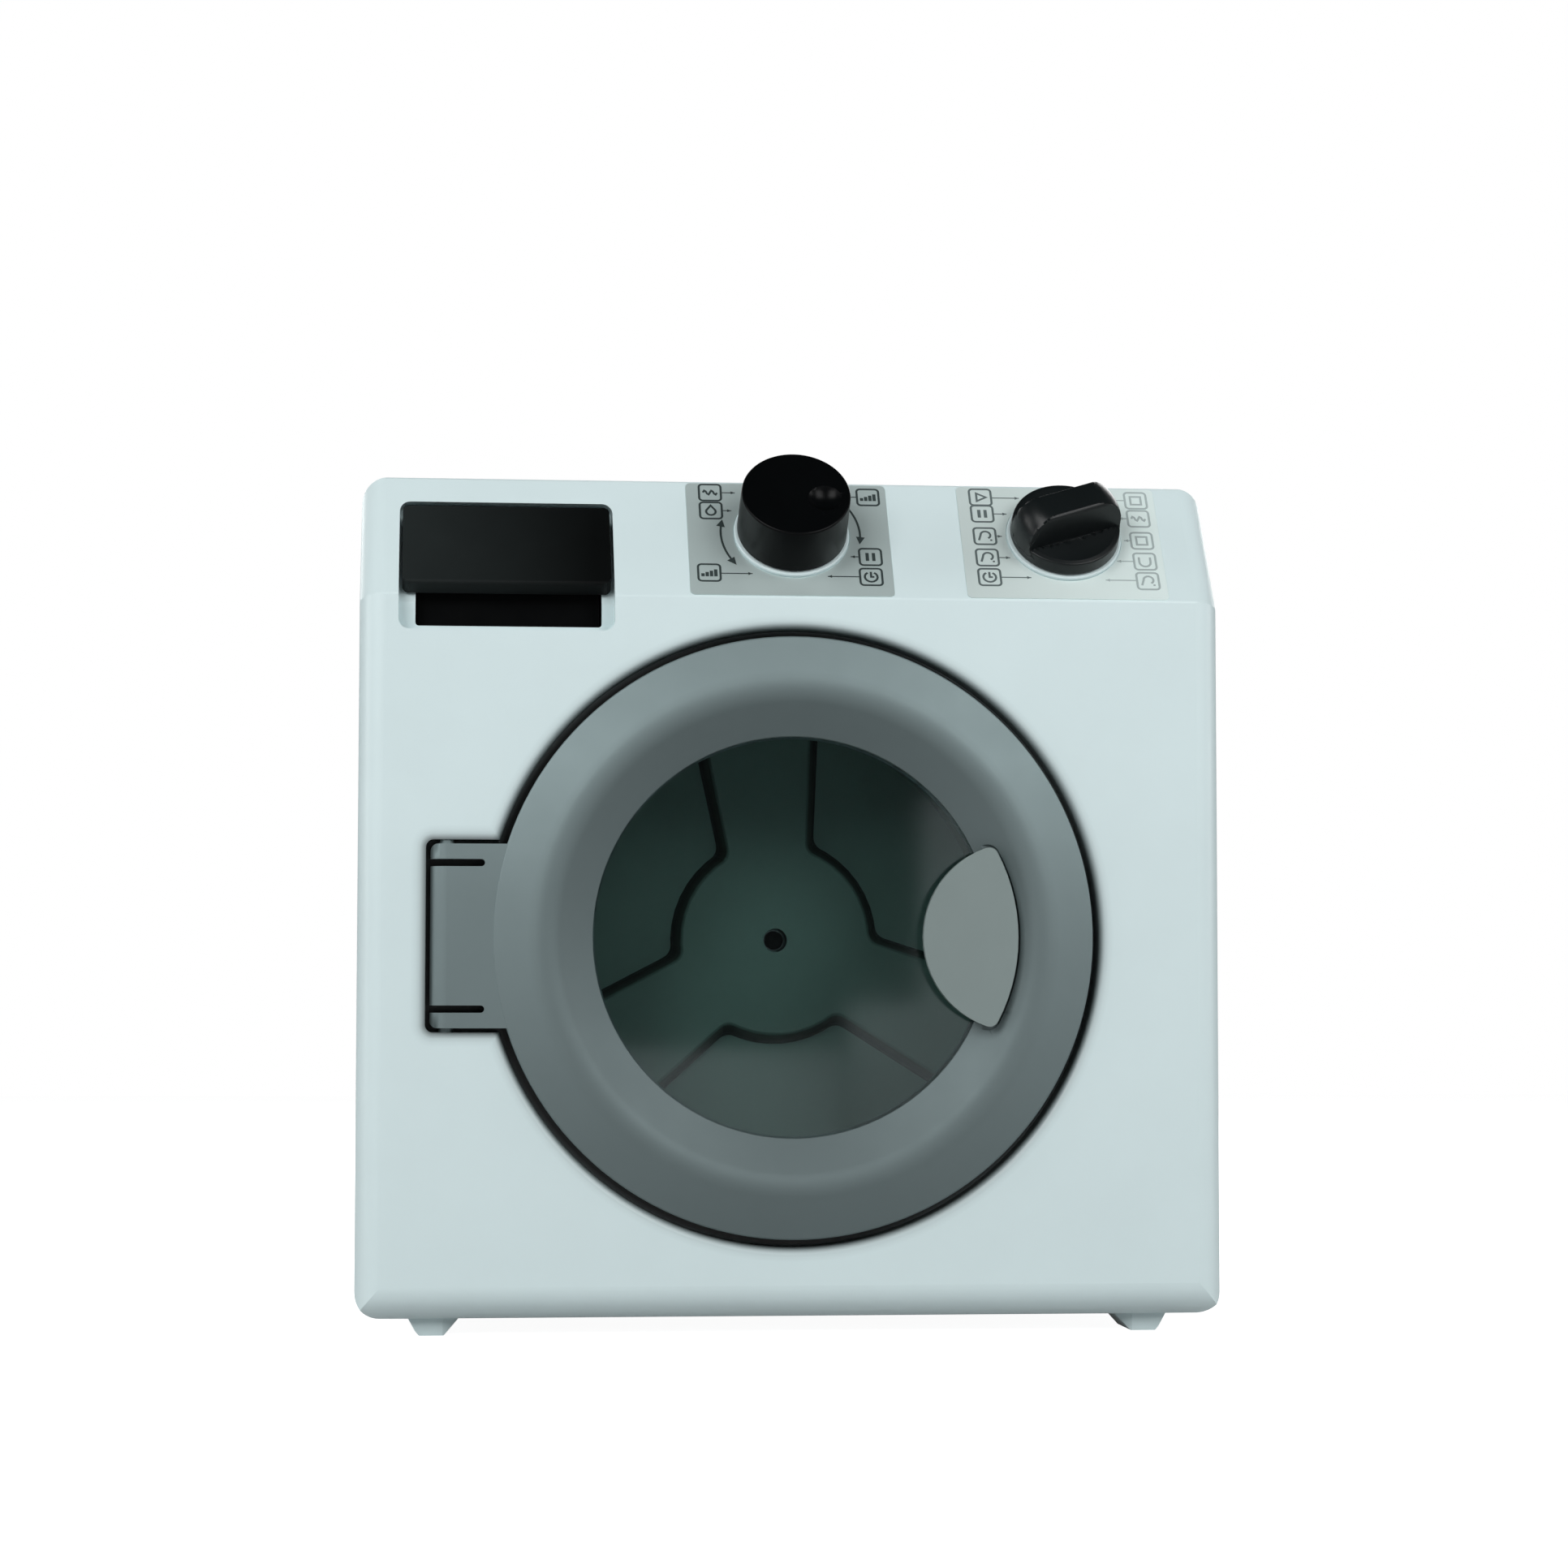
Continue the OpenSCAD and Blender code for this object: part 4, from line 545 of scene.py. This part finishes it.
def row(kind, cx, cy, lead):
    """A framed symbol and the thin line that leads from it towards the knob."""
    x0, x1, y1 = lead
    return [frame_box(cx, cy), *kind(cx, cy), ribbon([(x0, y1), (x1, y1)], THIN),
            head((x1, y1), (x1 - x0, 0))]


def sweep(r, start, end, ends):
    """A curved arrow round the left knob."""
    turn = 1 if end > start else -1
    path = arc(LEFT_KNOB_X, KNOB_S, r, start, end, 20)
    marks = {"end": (path[-1], end, turn), "start": (path[0], start, -turn)}
    out = [ribbon(path, LINE)]
    for key in ends:
        (px, py), angle, way = marks[key]
        a = math.radians(angle)
        aim = Vector((-math.sin(a) * way, math.cos(a) * way))
        out.append(head(Vector((px, py)) + aim, aim, BIG_HEAD))
    return out


LEFT_PRINT = [
    *row(wave, -22.0, 39.0, (-18.8, -14.9, 39.0)), *row(drop, -22.0, 32.1, (-18.8, -16.2, 32.1)),
    *row(bars, -23.4, 8.6, (-20.0, -11.3, 8.4)), *row(bars, 23.0, 38.0, (19.8, 14.6, 38.0)),
    *row(pause, 22.2, 15.2, (19.0, 16.6, 15.2)), *row(clock, 21.9, 7.7, (18.6, 9.7, 7.7)),
    *sweep(20.0, 168, 214, ("start", "end")), *sweep(19.4, 33, -8, ("end",)),
]
RIGHT_PRINT = [
    *row(play, 55.4, 38.7, (58.8, 66.5, 38.5)), *row(pause, 55.4, 32.3, (58.8, 62.4, 32.3)),
    *row(hook, 55.4, 23.7, (58.8, 60.3, 23.7)), *row(hook, 55.4, 15.6, (58.8, 61.9, 15.6)),
    *row(clock, 55.4, 8.2, (58.8, 67.2, 8.2)),
]
FAINT_PRINT = [
    *row(square, 100.3, 38.2, (97.0, 92.6, 38.2)), *row(wave, 100.3, 31.2, (97.0, 94.6, 31.2)),
    *row(square, 100.3, 22.7, (97.0, 95.2, 22.7)), *row(tub, 100.3, 14.8, (97.0, 92.3, 14.8)),
    *row(hook, 100.3, 7.4, (97.0, 88.3, 7.6)),
]

# %% Lay the ink on the stickers
INK_LIFT, INK_STEP = 0.27, 0.0004


def lay_ink(name, pieces, material):
    """One mesh for a sticker's print; each next piece lies a hair higher than the last."""
    verts, faces = [], []
    for k, (points, polys) in enumerate(pieces):
        base = len(verts)
        verts += [on_panel(p.x, p.y, INK_LIFT + INK_STEP * k) for p in points]
        faces += [tuple(base + i for i in poly) for poly in polys]
    mesh = bpy.data.meshes.new(name)
    mesh.from_pydata(verts, [], faces)
    obj = bpy.data.objects.new(name, mesh)
    bpy.context.scene.collection.objects.link(obj)
    mesh.materials.append(material)
    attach(obj, "cabinet")
    print(name, len(faces), "faces")
    return obj


dark_ink = moulded("dark_ink", (0.03, 0.045, 0.045), 0.45, mottle=0.15, grain=0.05)
grey_ink = moulded("grey_ink", (0.10, 0.13, 0.13), 0.45, mottle=0.15, grain=0.05)
faint_ink = moulded("faint_ink", (0.36, 0.43, 0.43), 0.45, mottle=0.1, grain=0.05)
lay_ink("left_sticker_print", LEFT_PRINT, dark_ink)
lay_ink("right_sticker_print", RIGHT_PRINT, grey_ink)
lay_ink("right_sticker_faint_print", FAINT_PRINT, faint_ink)

# %% [markdown]
# ## Floor, backdrop and light
# The machine stands on a plain pale floor. Two softboxes light the front, two fainter ones graze
# its sides, and two more light the back. The room behind them is dark, so that the black knobs and
# the window stay dark.

# %% The floor


def sheet(name, corners, colour):
    mesh = bpy.data.meshes.new(name)
    mesh.from_pydata(corners, [], [tuple(range(len(corners)))])
    obj = bpy.data.objects.new(name, mesh)
    bpy.context.scene.collection.objects.link(obj)
    mat = bpy.data.materials.new(name)
    mat.use_nodes = True
    bsdf = mat.node_tree.nodes["Principled BSDF"]
    bsdf.inputs["Base Color"].default_value = (*colour, 1)
    bsdf.inputs["Roughness"].default_value = 0.9
    obj.data.materials.append(mat)
    return obj


PALE = (0.5, 0.5, 0.5)
FLOOR = sheet("floor", [(-2.6, -3, 0), (2.6, -3, 0), (2.6, 2.4, 0), (-2.6, 2.4, 0)], PALE)
LIFT, SHEEN = 0.95, 0.1


def seen_by(nt, lens, gloss):
    """The level lens for rays from the camera or through plastic, and gloss for mirrored ones."""
    path = nt.nodes.new("ShaderNodeLightPath")
    seen = calc(nt, "MAXIMUM", path.outputs["Is Camera Ray"], path.outputs["Is Transmission Ray"])
    return calc(nt, "MAXIMUM", calc(nt, "MULTIPLY", seen, lens),
                calc(nt, "MULTIPLY", path.outputs["Is Glossy Ray"], gloss))


def show_white(mat, lift, sheen):
    """Lift the sheet to white for the lens, a little for glossy surfaces; a shadow still shows."""
    n, link = mat.node_tree.nodes, mat.node_tree.links.new
    glow = n.new("ShaderNodeEmission")
    glow.inputs["Color"].default_value = (1, 1, 1, 1)
    link(seen_by(mat.node_tree, lift, sheen), glow.inputs["Strength"])
    both = n.new("ShaderNodeAddShader")
    link(n["Principled BSDF"].outputs["BSDF"], both.inputs[0])
    link(glow.outputs["Emission"], both.inputs[1])
    link(both.outputs["Shader"], n["Material Output"].inputs["Surface"])


show_white(FLOOR.data.materials[0], LIFT, SHEEN)
print("floor:", [round(v, 2) for v in FLOOR.dimensions])

# %% The lamps


def area(name, place, aim, size, power):
    data = bpy.data.lights.new(name, "AREA")
    data.shape = "RECTANGLE"
    data.size, data.size_y = size
    data.energy = power
    obj = bpy.data.objects.new(name, data)
    bpy.context.scene.collection.objects.link(obj)
    obj.location = place
    obj.rotation_euler = (Vector(aim) - Vector(place)).to_track_quat("-Z", "Y").to_euler()
    return obj


def softbox(name, turn, rise, size, power, far=1.6, aim=(0, 0, 0.12)):
    """A softbox turned so many degrees to the right of straight ahead, and raised so many."""
    t, r = math.radians(turn), math.radians(rise)
    way = Vector((math.sin(t) * math.cos(r), -math.cos(t) * math.cos(r), math.sin(r)))
    return area(name, Vector(aim) + way * far, aim, size, power)


WIDE, NARROW = (0.8, 0.9), (0.5, 0.9)
LAMPS = (("left softbox", -33, 29, WIDE, 12.5), ("right softbox", 33, 29, WIDE, 10.8),
         ("left back light", -150, 29, WIDE, 8.5), ("right back light", 150, 29, WIDE, 8.5),
         ("left rim light", -80, 14, NARROW, 5.5), ("right rim light", 80, 14, NARROW, 4.5))
for lamp in LAMPS:
    softbox(*lamp)
print("lamps:", len(LAMPS))

# %% Pale boards behind the camera, which the flat window mirrors and the lens looks through
BOARD_Y, BOARD_FOOT = -1100.0, 1.0
BOARDS = [(-80, 138, 63), (142, 400, 91), (186, 400, 211)]
BOARD_GLOW, BOARD_TINT = 0.6, (0.85, 0.95, 1.0, 1)
for k, (x0, x1, top) in enumerate(BOARDS):
    corners = ((x0, BOARD_FOOT), (x1, BOARD_FOOT), (x1, top), (x0, top))
    board = sheet(f"board {k}", [tuple(at(cx, BOARD_Y - k, cz)) for cx, cz in corners], PALE)
    nt = board.data.materials[0].node_tree
    bsdf = nt.nodes["Principled BSDF"]
    bsdf.inputs["Emission Color"].default_value = BOARD_TINT
    bsdf.inputs["Emission Strength"].default_value = BOARD_GLOW
    path, clear = nt.nodes.new("ShaderNodeLightPath"), nt.nodes.new("ShaderNodeBsdfTransparent")
    pick = nt.nodes.new("ShaderNodeMixShader")
    nt.links.new(path.outputs["Is Camera Ray"], pick.inputs["Fac"])
    nt.links.new(bsdf.outputs["BSDF"], pick.inputs[1])
    nt.links.new(clear.outputs["BSDF"], pick.inputs[2])
    nt.links.new(pick.outputs["Shader"], nt.nodes["Material Output"].inputs["Surface"])
print("boards:", len(BOARDS))

# %% The dark room, which looks white to the lens
ROOM_SHEEN = 0.01
ROOM_LIGHT, ROOM_TINT = 0.03, (0.90, 0.96, 1.0, 1)
world = bpy.data.worlds.new("room")
bpy.context.scene.world = world
world.use_nodes = True
wn, wl = world.node_tree.nodes, world.node_tree.links.new
wn["Background"].inputs["Color"].default_value = ROOM_TINT
wn["Background"].inputs["Strength"].default_value = ROOM_LIGHT
plain = wn.new("ShaderNodeBackground")
plain.inputs["Color"].default_value = (1, 1, 1, 1)
plain.inputs["Strength"].default_value = 1.0
pick = wn.new("ShaderNodeMixShader")
wl(seen_by(world.node_tree, 1.0, ROOM_SHEEN), pick.inputs["Fac"])
wl(wn["Background"].outputs["Background"], pick.inputs[1])
wl(plain.outputs["Background"], pick.inputs[2])
wl(pick.outputs["Shader"], wn["World Output"].inputs["Surface"])

scene = bpy.context.scene
scene.view_settings.view_transform = "Standard"
scene.view_settings.look = "None"

# %% [markdown]
# ## The camera
# A long lens about a metre away, a little to the left of the machine and below its middle, so that
# the panel tips away and the feet show.

# %% Camera
LENS_AT = at(-97.77, -981.84, 91.945)
YAW, PITCH, ROLL = 0.0963, 0.0604, -0.001
SENSOR_MM, LENS_MM = 36, 82.05
data = bpy.data.cameras.new("view")
data.sensor_width = SENSOR_MM
data.lens = LENS_MM
data.clip_end = 20
camera = bpy.data.objects.new("view", data)
scene.collection.objects.link(camera)
ahead = Vector((math.sin(YAW) * math.cos(PITCH), math.cos(YAW) * math.cos(PITCH), math.sin(PITCH)))
right = Vector((math.cos(YAW), -math.sin(YAW), 0))
up = right.cross(ahead)
c, s = math.cos(ROLL), math.sin(ROLL)
right, up = right * c - up * s, up * c + right * s
turned = Matrix((right, up, -ahead)).transposed().to_4x4()
camera.matrix_world = Matrix.Translation(LENS_AT) @ turned
scene.camera = camera
print("camera", round((LENS_AT - at(0, 0, DOOR_Z)).length, 3), "m from the middle of the door")
